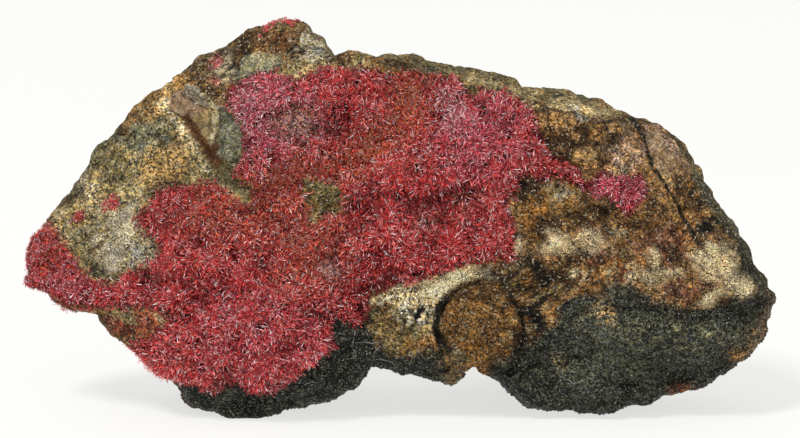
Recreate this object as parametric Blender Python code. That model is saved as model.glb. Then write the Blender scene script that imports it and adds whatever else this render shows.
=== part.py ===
"""Erythrite specimen: a broken piece of dark vein rock with a crust of crimson needle crystals on its face.

The rock is one solid. Its face, its walls and its back are height rules over a picture plane that leans
back with the face, so the display outline is exactly the one given below. The erythrite is a thick main
crust, a strip along the summit and two small tufts, each a solid that sits a hair off the rock.
"""

import math

import bmesh
import bpy
import numpy as np
from mathutils.geometry import delaunay_2d_cdt

MM = 0.001

# Driving dimensions, in millimetres and degrees.
FACE_LEAN_DEG = 12.0  # the display face leans back by this much when the rock stands on its two feet
FLOOR_LEVEL = -1.3  # where the feet are broken off flat, measured before the part is set on its origin
ORIGIN_X = 0.1  # the middle of the width
ORIGIN_Y = 15.6  # the middle of the depth
OUTLINE_CENTRE = (-0.2, 27.7)  # every outline point is seen from here
WALL_SHARE = 0.06  # how much of each half's radius goes to the side walls
CRUST_GAP = 0.3  # clear space between a crust and the rock
CRUST_SINK = 1.2  # how deep a crust reaches into the rock before the rock is cut out of it
CRUST_RIM_HEIGHT = 0.9  # thickness of the main crust at its edge
CRUST_HEIGHT = 2.0  # thickness of the main crust well inside its edge
CRUST_RIM_WIDTH = 2.2  # how far in from the edge the crust reaches its full thickness
TUFT_SPREAD = 0.75  # how far neighbouring crystal tufts stand above and below the mean
TUFT_SPACING = 1.75  # distance between crystal tufts
SMALL_CRUST_HEIGHT = 0.7
ROCK_TRIANGLE_SHARE = 0.066  # of the fine rock's triangles, how many are kept
CHIP_NUDGE = 0.4  # how far a chip's middle may lie from its cell's, in cells
CHIP_TILT = 0.3  # the steepest tilt of a chip along each axis, as rise over run
CHIP_DOME = 0.5  # how strongly a chip falls away from its middle
CHIP_MEAN = 0.12  # added so that the chips' mean height is about zero, in cells
LEAST_THICKNESS = 5.0  # the rock is nowhere thinner, front to back
THICK_WALL = 18.0  # where the rock is thinner than this, its side walls are smoother

# The rock's outline in the display plane: x across and h up from the left foot's lowest point.
ROCK_OUTLINE = [
    (-56.0, 20.6), (-55.4, 22.2), (-55.9, 25.5), (-54.1, 28.6), (-52.1, 31.1), (-49.5, 34.3),
    (-46.9, 37.8), (-45.0, 40.8), (-42.9, 42.6), (-39.9, 46.6), (-37.1, 49.0), (-35.6, 49.3),
    (-32.3, 52.0), (-29.2, 54.4), (-24.4, 57.1), (-20.7, 58.6), (-17.0, 59.6), (-14.8, 59.5),
    (-10.4, 55.0), (-9.7, 54.5), (-7.7, 54.8), (-3.9, 53.6), (3.0, 54.1), (7.2, 52.7),
    (13.7, 51.7), (20.7, 49.2), (25.9, 48.7), (28.5, 48.1), (32.3, 46.0), (36.7, 44.8),
    (42.3, 41.6), (44.4, 38.4), (47.1, 31.7), (50.8, 27.3), (53.8, 22.5), (56.0, 17.9),
    (55.7, 15.6), (53.5, 11.6), (50.5, 8.8), (47.2, 7.2), (45.7, 5.5), (42.2, 4.2),
    (39.3, 4.2), (36.7, 2.5), (35.5, 3.0), (31.1, 1.5), (27.4, 1.0), (21.5, 1.8),
    (19.4, 2.2), (17.9, 3.6), (13.1, 7.2), (11.0, 8.5), (9.2, 7.6), (8.9, 6.3),
    (7.3, 5.4), (3.1, 6.6), (-1.6, 7.7), (-4.6, 7.9), (-7.3, 4.9), (-10.6, 3.3),
    (-14.3, 2.2), (-18.0, 1.3), (-21.8, 0.1), (-26.7, 0.3), (-28.5, 1.3), (-31.1, 1.8),
    (-33.2, 5.4), (-37.7, 9.1), (-42.3, 12.5), (-45.1, 16.2), (-49.9, 17.0), (-53.0, 19.2),
]

# The main crust's edge: along the top, down the right tail and back, round the lower lobe, out to the
# left corner, and up past the bare tongue of rock.
CRUST_EDGE = [
    (-25.9, 49.9), (-22.5, 51.4), (-19.2, 52.6), (-16.5, 51.1), (-13.0, 51.9), (-11.3, 53.4),
    (-10.0, 52.3), (-7.0, 52.7), (-4.8, 52.8), (-0.9, 52.0), (1.2, 52.7), (3.6, 52.0),
    (8.2, 51.3), (10.4, 48.6), (12.4, 49.6), (16.4, 49.0), (19.7, 46.3), (20.4, 44.4),
    (22.3, 40.1), (25.6, 38.1), (27.4, 35.9), (30.5, 37.7), (31.7, 36.5), (35.8, 37.4),
    (37.1, 33.8), (33.5, 29.9), (31.9, 32.6), (28.2, 33.5), (24.4, 35.9), (21.0, 35.3),
    (18.3, 37.2), (16.4, 32.9), (17.4, 27.7), (17.1, 25.5), (18.3, 23.7), (11.8, 23.7),
    (5.8, 21.8), (1.6, 20.4), (-2.5, 19.5), (-4.3, 19.1), (-4.9, 15.3), (-7.3, 13.4),
    (-9.4, 15.5), (-10.0, 13.6), (-9.2, 11.3), (-11.8, 9.4), (-15.8, 6.1), (-19.5, 3.9),
    (-21.8, 3.7), (-24.3, 5.7), (-28.2, 4.0), (-30.8, 5.8), (-33.5, 7.0), (-37.0, 10.0),
    (-40.0, 12.4), (-36.2, 13.3), (-35.0, 14.8), (-35.9, 16.2), (-38.9, 16.8), (-44.0, 17.0),
    (-49.4, 18.3), (-52.3, 20.3), (-53.9, 21.6), (-53.8, 25.2), (-52.8, 27.4), (-51.1, 29.3),
    (-49.3, 25.2), (-47.2, 22.1), (-44.1, 20.4), (-41.0, 22.2), (-37.1, 23.7), (-35.6, 25.2),
    (-37.7, 27.6), (-40.2, 29.7), (-37.8, 32.5), (-35.9, 35.3), (-31.4, 35.3), (-27.3, 36.4),
    (-22.6, 33.1), (-25.2, 36.7), (-24.3, 38.6), (-23.4, 39.8), (-24.0, 44.1), (-26.1, 47.1),
]
# A window in the crust where bare rock shows.
CRUST_WINDOW = [
    (-13.4, 35.3), (-10.8, 34.9), (-9.3, 34.6), (-9.6, 32.4), (-11.4, 30.9), (-12.9, 31.6),
]
SUMMIT_EDGE = [
    (-21.3, 57.0), (-20.7, 57.7), (-18.9, 58.3), (-17.4, 58.6), (-16.2, 58.6), (-16.0, 57.8),
    (-17.2, 57.5), (-19.0, 57.1),
]
UPPER_TUFT_CENTRE = (-43.2, 32.5)
UPPER_TUFT_RADIUS = 1.0
LOWER_TUFT_CENTRE = (-48.5, 30.3)
LOWER_TUFT_RADIUS = 0.7


def smooth_step(low, high, value):
    t = np.clip((value - low) / (high - low), 0.0, 1.0)
    return t * t * (3.0 - 2.0 * t)


def mound(x, h, centre, radii, turn_deg=0.0):
    """A bell that is 1 at its centre and falls off over the two radii."""
    turn = math.radians(turn_deg)
    along = (x - centre[0]) * math.cos(turn) + (h - centre[1]) * math.sin(turn)
    across = (h - centre[1]) * math.cos(turn) - (x - centre[0]) * math.sin(turn)
    return np.exp(-((along / radii[0]) ** 2) - (across / radii[1]) ** 2)


def distance_to_run(x, h, run):
    """Distance from each point to a run of straight stretches."""
    best = np.full(np.shape(x), 1e9)
    for (x0, h0), (x1, h1) in zip(run, run[1:]):
        dx, dh = x1 - x0, h1 - h0
        t = np.clip(((x - x0) * dx + (h - h0) * dh) / (dx * dx + dh * dh), 0.0, 1.0)
        best = np.minimum(best, np.hypot(x - x0 - t * dx, h - h0 - t * dh))
    return best


def lattice_random(key, seed):
    """A fixed random value from -1 to 1 for each corner of a cubic lattice."""
    mixed = (key[:, 0] * 73856093 ^ key[:, 1] * 19349663 ^ key[:, 2] * 83492791) + seed * 9781
    mixed = (mixed ^ (mixed >> 13)) & 0x7FFFFFFF
    mixed = (mixed * 48271) & 0x7FFFFFFF
    return ((mixed ^ (mixed >> 11)) & 0xFFFF) / 32767.5 - 1.0


def lattice_noise(points, cell, seed):
    """Smooth noise from -1 to 1: random values on a cubic lattice of this cell, blended between corners."""
    place = points / cell
    base = np.floor(place).astype(np.int64)
    blend = smooth_step(0.0, 1.0, place - base)
    total = np.zeros(len(points))
    for corner in np.ndindex(2, 2, 2):
        value = lattice_random(base + np.array(corner), seed)
        total += value * np.where(corner, blend, 1.0 - blend).prod(axis=1)
    return total


def chips(points, cell, seed):
    """Broken facets: every lattice cell has a tilted, slightly domed chip, and the proudest one shows.
    The result is in millimetres either side of zero, about a third of a cell from low to high."""
    place = points / cell
    base = np.floor(place).astype(np.int64)
    best = np.full(len(points), -1e9)
    for corner in np.ndindex(3, 3, 3):
        key = base + np.array(corner) - 1
        nudge = np.stack([lattice_random(key, seed + i) for i in range(3)], axis=1)
        tilt = np.stack([lattice_random(key, seed + 3 + i) for i in range(3)], axis=1)
        offset = place - key - 0.5 - CHIP_NUDGE * nudge
        height = (offset * tilt).sum(axis=1) * CHIP_TILT - (offset**2).sum(axis=1) * CHIP_DOME
        best = np.maximum(best, height)
    return (best + CHIP_MEAN) * cell


def bumps(points, layers, seed):
    """Layers of noise, each a (cell size, height) pair in millimetres."""
    total = np.zeros(len(points))
    for index, (cell, height) in enumerate(layers):
        total += height * lattice_noise(points + 17.3 * (index + 1), cell, seed + index)
    return total


def soft_most(faces, sharpness):
    """The largest of several rules at each point, with the corner between two of them rounded."""
    stack = np.stack(np.broadcast_arrays(*faces))
    top = stack.max(axis=0)
    return top + np.log(np.exp(sharpness * (stack - top)).sum(axis=0)) / sharpness


# The facets of the display face: each is a plane that recedes from a line across the face. A facet is
# (point on the line, direction in which it recedes, depth gained for each millimetre).
FACE_FACETS = [
    ((-29.0, 30.0), (-0.95, 0.30), 0.31),  # the left shoulder
    ((-22.0, 50.5), (-0.35, 0.94), 0.55),  # the left side of the summit
    ((14.8, 49.0), (0.27, 0.963), 2.7),  # the top rim, seen almost edge on
    ((36.5, 41.0), (0.867, 0.50), 0.30),  # the cheek beyond the dark vein
    ((44.8, 32.7), (0.824, 0.563), 2.2),  # the right flank
    ((51.8, 14.0), (0.90, -0.43), 1.3),  # the lower right corner
    ((24.0, 17.5), (0.06, -1.0), 0.33),  # the black foot on the right
    ((-20.0, 11.5), (0.0, -1.0), 0.36),  # the black foot on the left
    ((-46.0, 19.5), (-0.2, -0.98), 0.45),  # the underside of the left corner
]
# The facets of the back, given in the same way: each recedes towards the face.
BACK_FACETS = [
    ((0.0, 0.0), (0.02, 1.0), 0.10, 30.0),
    ((-20.0, 20.0), (-0.98, -0.2), 0.46, 28.0),
    ((-30.0, 38.0), (-0.62, 0.78), 0.62, 23.0),
    ((26.0, 20.0), (0.98, 0.2), 0.62, 29.0),
    ((32.0, 34.0), (0.70, 0.71), 0.80, 22.0),
    ((0.0, 30.0), (-0.12, 0.99), 0.52, 27.5),
    ((34.0, 8.0), (0.75, -0.66), 0.52, 27.0),
    ((-8.0, 12.0), (-0.3, -0.95), 0.16, 28.5),
]
LEDGE_TOP = (-34.1, 47.8)  # the ledge runs from here
LEDGE_END = (-22.6, 33.1)  # to here, at the tip of the bare tongue
LEDGE_HEIGHT = 2.1
VEIN = [(34.4, 44.6), (37.4, 38.8), (40.1, 33.6), (43.0, 29.4)]
CLEFT = [(-36.0, 24.6), (-32.4, 20.4), (-29.0, 15.8)]
ARCH_LEFT = (-11.0, -6.0)  # the gap between the feet opens over this stretch
ARCH_RIGHT = (12.0, 17.0)  # and closes over this one
ARCH_RISE = (9.0, 21.0)  # its roof is level from front to back, which fades out up the back
CLAST_CENTRE = (11.9, 12.9)
CLAST_RADII = (5.7, 7.0)


def ledge_step(x, h):
    """The rock right of the ledge stands proud, and the step dies away under the upper crust."""
    run_x, run_h = LEDGE_END[0] - LEDGE_TOP[0], LEDGE_END[1] - LEDGE_TOP[1]
    length = math.hypot(run_x, run_h)
    along = ((x - LEDGE_TOP[0]) * run_x + (h - LEDGE_TOP[1]) * run_h) / length
    across = ((h - LEDGE_TOP[1]) * run_x - (x - LEDGE_TOP[0]) * run_h) / length
    shown = smooth_step(-6.0, 1.0, along) * (1.0 - smooth_step(length - 4.0, length + 5.0, along))
    return -LEDGE_HEIGHT * shown * smooth_step(-0.2, 1.1, across) * np.exp(-np.maximum(across - 5.0, 0) / 9)


def face_forms(x, h):
    """The lumps, hollows and grooves of the face, as depth to add. Negative stands towards the viewer."""
    clast = np.hypot((x - CLAST_CENTRE[0]) / CLAST_RADII[0], (h - CLAST_CENTRE[1]) / CLAST_RADII[1])
    black_side = smooth_step(24.0, 31.0, x)
    past_summit = np.maximum(0.80 * (x + 15.0) + 0.60 * (h - 54.5), 0.0)
    depth = ledge_step(x, h)
    depth += 0.6 * past_summit * (1.0 - smooth_step(-13.0, -6.0, x))  # the summit's right side
    depth += -3.4 * mound(x, h, (-22.0, 14.5), (12.5, 8.5), 12.0)  # the lower lobe
    depth += -1.2 * mound(x, h, (-12.0, 44.0), (11.0, 6.0))  # the upper crust's swell
    depth += 1.3 * mound(x, h, (-17.5, 33.0), (7.0, 3.5), -15.0)  # the saddle between the two
    depth += 1.7 * mound(x, h, (6.5, 29.5), (6.5, 3.6), 10.0)  # the hollow right of the middle
    depth += -1.3 * mound(x, h, (10.5, 39.5), (7.0, 5.0))  # the swell above it
    depth += 1.4 * mound(x, h, (-10.6, 43.4), (2.2, 1.8))  # a cavity in the upper crust
    depth += 2.2 * np.exp(-((distance_to_run(x, h, CLEFT) / 1.7) ** 2))
    depth += 0.7 * np.exp(-((distance_to_run(x, h, VEIN) / 0.55) ** 2))
    depth += -1.1 * (1.0 - smooth_step(0.86, 1.02, clast))
    depth += 0.9 * np.exp(-(((clast - 1.09) / 0.09) ** 2))
    depth += 1.2 * black_side * np.exp(-(((h - 16.4) / 1.1) ** 2))  # the shadowed groove over the foot
    depth += -0.9 * black_side * np.exp(-(((h - 12.6) / 1.5) ** 2))  # the ridge below it
    depth += 1.6 * mound(x, h, (38.0, 5.6), (6.0, 1.5), 5.0)  # the undercut by the right foot
    depth += 1.0 * mound(x, h, (-0.5, 12.0), (5.0, 2.6), -12.0)  # the dark hollow left of the clast
    depth += -0.9 * mound(x, h, (7.2, 8.0), (2.0, 2.4))  # the small knob over the arch
    return depth


def facet_depths(x, h, facets):
    for (x0, h0), (way_x, way_h), slope, *start in facets:
        rise = slope * ((x - x0) * way_x + (h - h0) * way_h)
        yield -start[0] + rise if start else rise


def face_depth(x, h, reach):
    """Depth of the display face behind the picture plane. reach is 0 at the middle and 1 at the outline."""
    planes = [np.zeros(np.shape(x)), *facet_depths(x, h, FACE_FACETS)]
    depth = soft_most(planes, 1.6) - math.log(2.0) / 1.6
    depth = depth + face_forms(x, h) + 1.5 * reach**18
    flat = np.stack([x, h, np.zeros(np.shape(x))], axis=1)
    hackly = 0.45 + 0.55 * smooth_step(12.0, 24.0, x)  # the right side is more broken than the left
    depth = depth - hackly * (chips(flat, 10.0, 211) + 0.5 * chips(flat, 4.5, 223))
    return depth + bumps(flat, [(14.0, 0.8), (2.0, 0.2)], 3)


def back_depth(x, h, reach, face):
    depth = -soft_most(list(facet_depths(x, h, BACK_FACETS)), 1.1)
    flat = np.stack([x, h, np.zeros(np.shape(x))], axis=1)
    depth = depth - 1.6 * reach**10 + chips(flat, 19.0, 307) + 0.7 * chips(flat, 7.0, 311)
    depth += bumps(flat, [(20.0, 1.5), (3.0, 0.35)], 41)
    return np.maximum(depth, face + LEAST_THICKNESS)


def outline_reach(angle):
    """Distance from the outline's centre to the outline, at each angle."""
    points = np.array(ROCK_OUTLINE) - OUTLINE_CENTRE
    angles = np.arctan2(points[:, 1], points[:, 0])
    order = np.argsort(angles)
    return np.interp(angle, angles[order], np.hypot(*points.T)[order], period=2 * math.pi)


def rock_surface(angle, radius, on_back):
    """Points of the rock as (x, h, depth). radius is 0 at the middle of the face or back and 1 half way
    down the wall between them."""
    reach = np.minimum(radius / (1.0 - WALL_SHARE), 1.0)
    wall = np.clip((radius - (1.0 - WALL_SHARE)) / WALL_SHARE, 0.0, 1.0) * 0.5
    share = np.where(on_back, 1.0 - wall, wall)
    length = outline_reach(angle) * reach
    x = OUTLINE_CENTRE[0] + length * np.cos(angle)
    h = OUTLINE_CENTRE[1] + length * np.sin(angle)
    face = face_depth(x, h, reach)
    back = back_depth(x, h, reach, face)
    depth = face + (back - face) * np.where(on_back | (wall > 0), share, 0.0)
    walled = np.sin(math.pi * share)
    solid = np.stack([x, h, depth], axis=1)
    rough = np.clip(chips(solid, 11.0, 401) + 0.5 * chips(solid, 4.5, 409), -1.6, 0.5)
    rough *= np.minimum((back - face) / THICK_WALL, 1.0)
    x = x + np.cos(angle) * walled * rough
    h = h + np.sin(angle) * walled * rough
    over_arch = smooth_step(*ARCH_LEFT, x) * (1.0 - smooth_step(*ARCH_RIGHT, x))
    over_arch *= 1.0 - smooth_step(*ARCH_RISE, h)
    h = h + over_arch * (depth - face) * math.tan(math.radians(FACE_LEAN_DEG))
    return np.stack([x, h, depth], axis=1)


def stood_up(points):
    """From (x, h, depth) in the leaning picture plane to the part's own frame, in metres."""
    lean = math.radians(FACE_LEAN_DEG)
    x, h, depth = points.T
    y = h * math.sin(lean) + depth * math.cos(lean)
    z = h * math.cos(lean) - depth * math.sin(lean)
    return np.stack([x - ORIGIN_X, y - ORIGIN_Y, z - FLOOR_LEVEL], axis=1) * MM


def get_points(mesh):
    points = np.empty(len(mesh.vertices) * 3)
    mesh.vertices.foreach_get("co", points)
    return points.reshape(-1, 3)


def set_points(mesh, points):
    mesh.vertices.foreach_set("co", points.astype(np.float32).ravel())
    mesh.update()


def make_material(name, colour, roughness):
    material = bpy.data.materials.new(name)
    material.use_nodes = True
    shader = material.node_tree.nodes["Principled BSDF"]
    shader.inputs["Base Color"].default_value = (*colour, 1.0)
    shader.inputs["Roughness"].default_value = roughness
    shader.inputs["Metallic"].default_value = 0.0
    material.diffuse_color = (*colour, 1.0)
    return material


def evaluated_copy(obj):
    """The object's mesh with its modifiers applied."""
    graph = bpy.context.evaluated_depsgraph_get()
    return bpy.data.meshes.new_from_object(obj.evaluated_get(graph))


def add_object(name, mesh, collection, material=None):
    obj = bpy.data.objects.new(name, mesh)
    collection.objects.link(obj)
    if material:
        mesh.materials.clear()
        mesh.materials.append(material)
    return obj


def cut_at_floor(mesh):
    """Breaks off what would lie below the floor, and closes the cut flat."""
    shape = bmesh.new()
    shape.from_mesh(mesh)
    everything = shape.verts[:] + shape.edges[:] + shape.faces[:]
    bmesh.ops.bisect_plane(
        shape, geom=everything, plane_co=(0, 0, 0), plane_no=(0, 0, 1), dist=1e-6, clear_inner=True
    )
    rim = [edge for edge in shape.edges if edge.is_boundary]
    bmesh.ops.holes_fill(shape, edges=rim)
    bmesh.ops.triangulate(shape, faces=shape.faces[:])
    bmesh.ops.recalc_face_normals(shape, faces=shape.faces[:])
    shape.to_mesh(mesh)
    shape.free()


def make_rock(collection, material):
    """A fine ball is drawn into the rock's shape, thinned to its facets, and broken off at the floor."""
    ball = bmesh.new()
    bmesh.ops.create_icosphere(ball, subdivisions=7, radius=1.0)
    fine = bpy.data.meshes.new("fine_rock")
    ball.to_mesh(fine)
    ball.free()
    unit = get_points(fine)
    toward = -unit[:, 1]
    angle = np.arctan2(unit[:, 2], unit[:, 0])
    radius = np.sqrt(np.clip(1.0 - np.abs(toward), 0.0, 1.0))
    set_points(fine, stood_up(rock_surface(angle, radius, toward < 0.0)))
    blank = add_object("fine_rock", fine, collection)
    thin = blank.modifiers.new("thin", "DECIMATE")
    thin.ratio = ROCK_TRIANGLE_SHARE
    mesh = evaluated_copy(blank)
    bpy.data.objects.remove(blank)
    cut_at_floor(mesh)
    mesh.name = "matrix_rock"
    return add_object("matrix_rock", mesh, collection, material)


def make_swollen_rock(rock, collection):
    """The rock grown by the crusts' gap: the cutter that shapes their undersides."""
    mesh = rock.data.copy()
    swollen = add_object("rock_cutter", mesh, collection)
    grow = swollen.modifiers.new("grow", "DISPLACE")
    grow.strength = CRUST_GAP * MM
    grow.mid_level = 0.0
    swollen.hide_render = True
    swollen.display_type = "WIRE"
    return swollen


def inside(points, edge):
    """Which points lie inside a closed edge: an odd number of its stretches pass to their right."""
    found = np.zeros(len(points), bool)
    for (x0, h0), (x1, h1) in zip(edge, edge[1:] + edge[:1]):
        between = (h0 > points[:, 1]) != (h1 > points[:, 1])
        rise = h1 - h0 if h1 != h0 else 1e-9
        crossing = x0 + (points[:, 1] - h0) * (x1 - x0) / rise
        found ^= between & (points[:, 0] < crossing)
    return found


def divided(edge, spacing):
    """The closed edge with points added so that none are further apart than the spacing."""
    points = []
    for (x0, h0), (x1, h1) in zip(edge, edge[1:] + edge[:1]):
        count = max(1, round(math.hypot(x1 - x0, h1 - h0) / spacing))
        points += [(x0 + (x1 - x0) * i / count, h0 + (h1 - h0) * i / count) for i in range(count)]
    return points


def tuft_places(edge, spacing, keep_off, random):
    """A staggered grid of places inside an edge, each nudged at random and none too near the edge."""
    low, high = np.min(edge, axis=0), np.max(edge, axis=0)
    rows = np.arange(low[1], high[1], spacing * math.sqrt(0.75))
    places = [
        (x + (0.5 * spacing if index % 2 else 0.0), h)
        for index, h in enumerate(rows)
        for x in np.arange(low[0], high[0], spacing)
    ]
    places = np.array(places) + random.uniform(-0.22, 0.22, (len(places), 2)) * spacing
    clear = distance_to_run(places[:, 0], places[:, 1], edge + edge[:1]) > keep_off
    return places[inside(places, edge) & clear]


def flat_sheet(edge, window, spacing, random):
    """A triangulated sheet in the picture plane, bounded by the edge and open at the window."""
    loops = [divided(edge, spacing)] + ([divided(window, spacing)] if window else [])
    corners = [point for loop in loops for point in loop]
    links = []
    for loop in loops:
        first = len(links)
        links += [(first + i, first + (i + 1) % len(loop)) for i in range(len(loop))]
    places = tuft_places(edge, spacing, 0.55 * spacing, random)
    if window:
        places = places[~inside(places, window)]
        places = places[
            distance_to_run(places[:, 0], places[:, 1], window + window[:1]) > 0.55 * spacing
        ]
    corners += [tuple(place) for place in places]
    vertices, _, faces, *_ = delaunay_2d_cdt(corners, links, [], 0, 1e-4)
    vertices = np.array([tuple(v) for v in vertices])
    middles = np.array([vertices[list(face)].mean(axis=0) for face in faces])
    keep = inside(middles, edge)
    if window:
        keep &= ~inside(middles, window)
    return vertices, [face for face, kept in zip(faces, keep) if kept]


def face_depth_at(x, h):
    """Depth of the display face below any point of the picture plane inside the outline."""
    dx, dh = x - OUTLINE_CENTRE[0], h - OUTLINE_CENTRE[1]
    reach = np.hypot(dx, dh) / outline_reach(np.arctan2(dh, dx))
    return face_depth(x, h, np.minimum(reach, 1.0))


def make_crust(name, edge, window, heights, spacing, rock_cutter, collection, material, seed):
    """A crust of crystal tufts: a sheet on the face, its tufts drawn out to points, thickened into the
    rock, and with the rock then cut out of it."""
    random = np.random.default_rng(seed)
    rim_height, full_height, spread = heights
    places, faces = flat_sheet(edge, window, spacing, random)
    x, h = places.T
    from_edge = distance_to_run(x, h, edge + edge[:1])
    if window:
        from_edge = np.minimum(from_edge, distance_to_run(x, h, window + window[:1]))
    inner = smooth_step(0.0, CRUST_RIM_WIDTH, from_edge)
    thick = CRUST_GAP + rim_height + (full_height - rim_height) * inner
    thick += random.uniform(-spread, spread, len(x)) * inner
    ground = face_depth_at(x, h)
    bare = np.stack([x, h, ground - thick], axis=1)

    shape = bmesh.new()
    sink = shape.verts.layers.float.new("sink")
    tops = [shape.verts.new(point) for point in stood_up(bare)]
    for vertex, height in zip(tops, thick):
        vertex[sink] = (height + CRUST_SINK) * MM
    sheet = [shape.faces.new([tops[i] for i in face]) for face in faces]
    bmesh.ops.delete(shape, geom=[v for v in shape.verts if not v.link_faces], context="VERTS")
    sunk = bmesh.ops.extrude_face_region(shape, geom=sheet, use_keep_orig=True)["geom"]
    lean = math.radians(FACE_LEAN_DEG)
    for vertex in (item for item in sunk if isinstance(item, bmesh.types.BMVert)):
        vertex.co.y += vertex[sink] * math.cos(lean)
        vertex.co.z -= vertex[sink] * math.sin(lean)
    bmesh.ops.triangulate(shape, faces=shape.faces[:])
    bmesh.ops.recalc_face_normals(shape, faces=shape.faces[:])
    mesh = bpy.data.meshes.new(name)
    shape.to_mesh(mesh)
    shape.free()

    crust = add_object(name, mesh, collection, material)
    cut = crust.modifiers.new("rock", "BOOLEAN")
    cut.operation = "DIFFERENCE"
    cut.solver = "EXACT"
    cut.object = rock_cutter
    return crust


def ring_edge(centre, radius, sides=9):
    turns = [2 * math.pi * i / sides for i in range(sides)]
    return [(centre[0] + radius * math.cos(t), centre[1] + radius * math.sin(t)) for t in turns]


def main():
    for obj in list(bpy.data.objects):
        bpy.data.objects.remove(obj)
    specimen = bpy.data.collections.new("Erythrite specimen")
    helpers = bpy.data.collections.new("Cutters")
    bpy.context.scene.collection.children.link(specimen)
    bpy.context.scene.collection.children.link(helpers)

    rock_finish = make_material("vein_rock", (0.17, 0.13, 0.09), 0.85)
    crystal_finish = make_material("erythrite_needles", (0.48, 0.045, 0.08), 0.45)

    rock = make_rock(specimen, rock_finish)
    cutter = make_swollen_rock(rock, helpers)
    main_heights = (CRUST_RIM_HEIGHT, CRUST_HEIGHT, TUFT_SPREAD)
    small_heights = (0.4, SMALL_CRUST_HEIGHT, 0.1)
    make_crust("erythrite_crust", CRUST_EDGE, CRUST_WINDOW, main_heights, TUFT_SPACING,
               cutter, specimen, crystal_finish, 11)
    make_crust("erythrite_summit_strip", SUMMIT_EDGE, None, small_heights, 0.8,
               cutter, specimen, crystal_finish, 12)
    make_crust("erythrite_upper_tuft", ring_edge(UPPER_TUFT_CENTRE, UPPER_TUFT_RADIUS), None,
               small_heights, 0.6, cutter, specimen, crystal_finish, 13)
    make_crust("erythrite_lower_tuft", ring_edge(LOWER_TUFT_CENTRE, LOWER_TUFT_RADIUS), None,
               small_heights, 0.5, cutter, specimen, crystal_finish, 14)


main()
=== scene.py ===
import math

import bpy
import numpy as np
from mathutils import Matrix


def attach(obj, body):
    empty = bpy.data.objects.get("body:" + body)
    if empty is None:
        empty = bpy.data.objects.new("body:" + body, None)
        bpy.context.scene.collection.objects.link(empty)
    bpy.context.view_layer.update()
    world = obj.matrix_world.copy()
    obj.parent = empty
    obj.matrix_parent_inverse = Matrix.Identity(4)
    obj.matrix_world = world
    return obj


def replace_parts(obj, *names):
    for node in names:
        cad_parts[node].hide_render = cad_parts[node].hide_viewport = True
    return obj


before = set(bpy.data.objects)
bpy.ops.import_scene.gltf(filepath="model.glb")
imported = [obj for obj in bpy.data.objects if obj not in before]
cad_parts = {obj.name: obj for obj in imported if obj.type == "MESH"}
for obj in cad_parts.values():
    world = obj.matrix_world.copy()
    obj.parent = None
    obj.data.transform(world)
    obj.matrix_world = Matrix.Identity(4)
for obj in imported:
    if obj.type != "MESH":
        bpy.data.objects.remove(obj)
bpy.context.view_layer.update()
print("frame loaded:", ", ".join(sorted(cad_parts)))

mm = 0.001


# small tools that every piece uses

def tone(red, green, blue):
    # a colour as a screen shows it, 0 to 255, turned into the linear light that shaders use
    return tuple(((c / 255 + 0.055) / 1.055) ** 2.4 for c in (red, green, blue))


def smoothStep(low, high, value):
    # 0 below low, 1 above high, an S curve between
    t = np.clip((value - low) / (high - low), 0.0, 1.0)
    return t * t * (3.0 - 2.0 * t)


def mound(x, h, centre, radii, turn=0.0):
    # a bell, 1 at its centre, that falls off over two radii along turned axes
    c, s = math.cos(math.radians(turn)), math.sin(math.radians(turn))
    along = (x - centre[0]) * c + (h - centre[1]) * s
    across = (h - centre[1]) * c - (x - centre[0]) * s
    return np.exp(-((along / radii[0]) ** 2) - (across / radii[1]) ** 2)


def softShare(x, h, places, gain=1.4):
    # 0 to 1: how far a point lies in any of several soft places
    return np.clip(gain * sum(mound(x, h, *place) for place in places), 0.0, 1.0)


def runDistance(x, h, run):
    # distance to the nearest of a run of straight stretches
    best = np.full(np.shape(x), 1e9)
    for (x0, h0), (x1, h1) in zip(run, run[1:]):
        dx, dh = x1 - x0, h1 - h0
        t = np.clip(((x - x0) * dx + (h - h0) * dh) / (dx * dx + dh * dh), 0.0, 1.0)
        best = np.minimum(best, np.hypot(x - x0 - t * dx, h - h0 - t * dh))
    return best


def insideEdge(x, h, edge):
    # a point is inside if an odd number of the edge's stretches pass to its right
    found = np.zeros(np.shape(x), bool)
    for (x0, h0), (x1, h1) in zip(edge, edge[1:] + edge[:1]):
        crossing = x0 + (h - h0) * (x1 - x0) / (h1 - h0 if h1 != h0 else 1e-9)
        found ^= ((h0 > h) != (h1 > h)) & (x < crossing)
    return found


def edgeDepth(x, h, edge):
    # how far inside a closed edge a point lies, negative outside
    return runDistance(x, h, edge + edge[:1]) * np.where(insideEdge(x, h, edge), 1.0, -1.0)


def latticeRandom(key, seed):
    # a fixed random value from -1 to 1 for each corner of a cubic lattice
    mixed = (key[:, 0] * 73856093 ^ key[:, 1] * 19349663 ^ key[:, 2] * 83492791) + seed * 9781
    mixed = (mixed ^ (mixed >> 13)) & 0x7FFFFFFF
    mixed = (mixed * 48271) & 0x7FFFFFFF
    return ((mixed ^ (mixed >> 11)) & 0xFFFF) / 32767.5 - 1.0


def noise(points, cell, seed):
    # smooth noise from -1 to 1: lattice values blended between the corners of each cell
    place = points / cell
    base = np.floor(place).astype(np.int64)
    blend = smoothStep(0.0, 1.0, place - base)
    total = np.zeros(len(points))
    for corner in np.ndindex(2, 2, 2):
        share = np.where(corner, blend, 1.0 - blend).prod(axis=1)
        total += latticeRandom(base + np.array(corner), seed) * share
    return total


def bumps(points, layers, seed):
    # several noises added up, each a (cell, height) pair in millimetres
    total = np.zeros(len(points))
    for i, (cell, height) in enumerate(layers):
        total += height * noise(points + 17.3 * (i + 1), cell, seed + i)
    return total


chip = {"nudge": 0.4, "tilt": 0.3, "dome": 0.5, "mean": 0.12}


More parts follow.
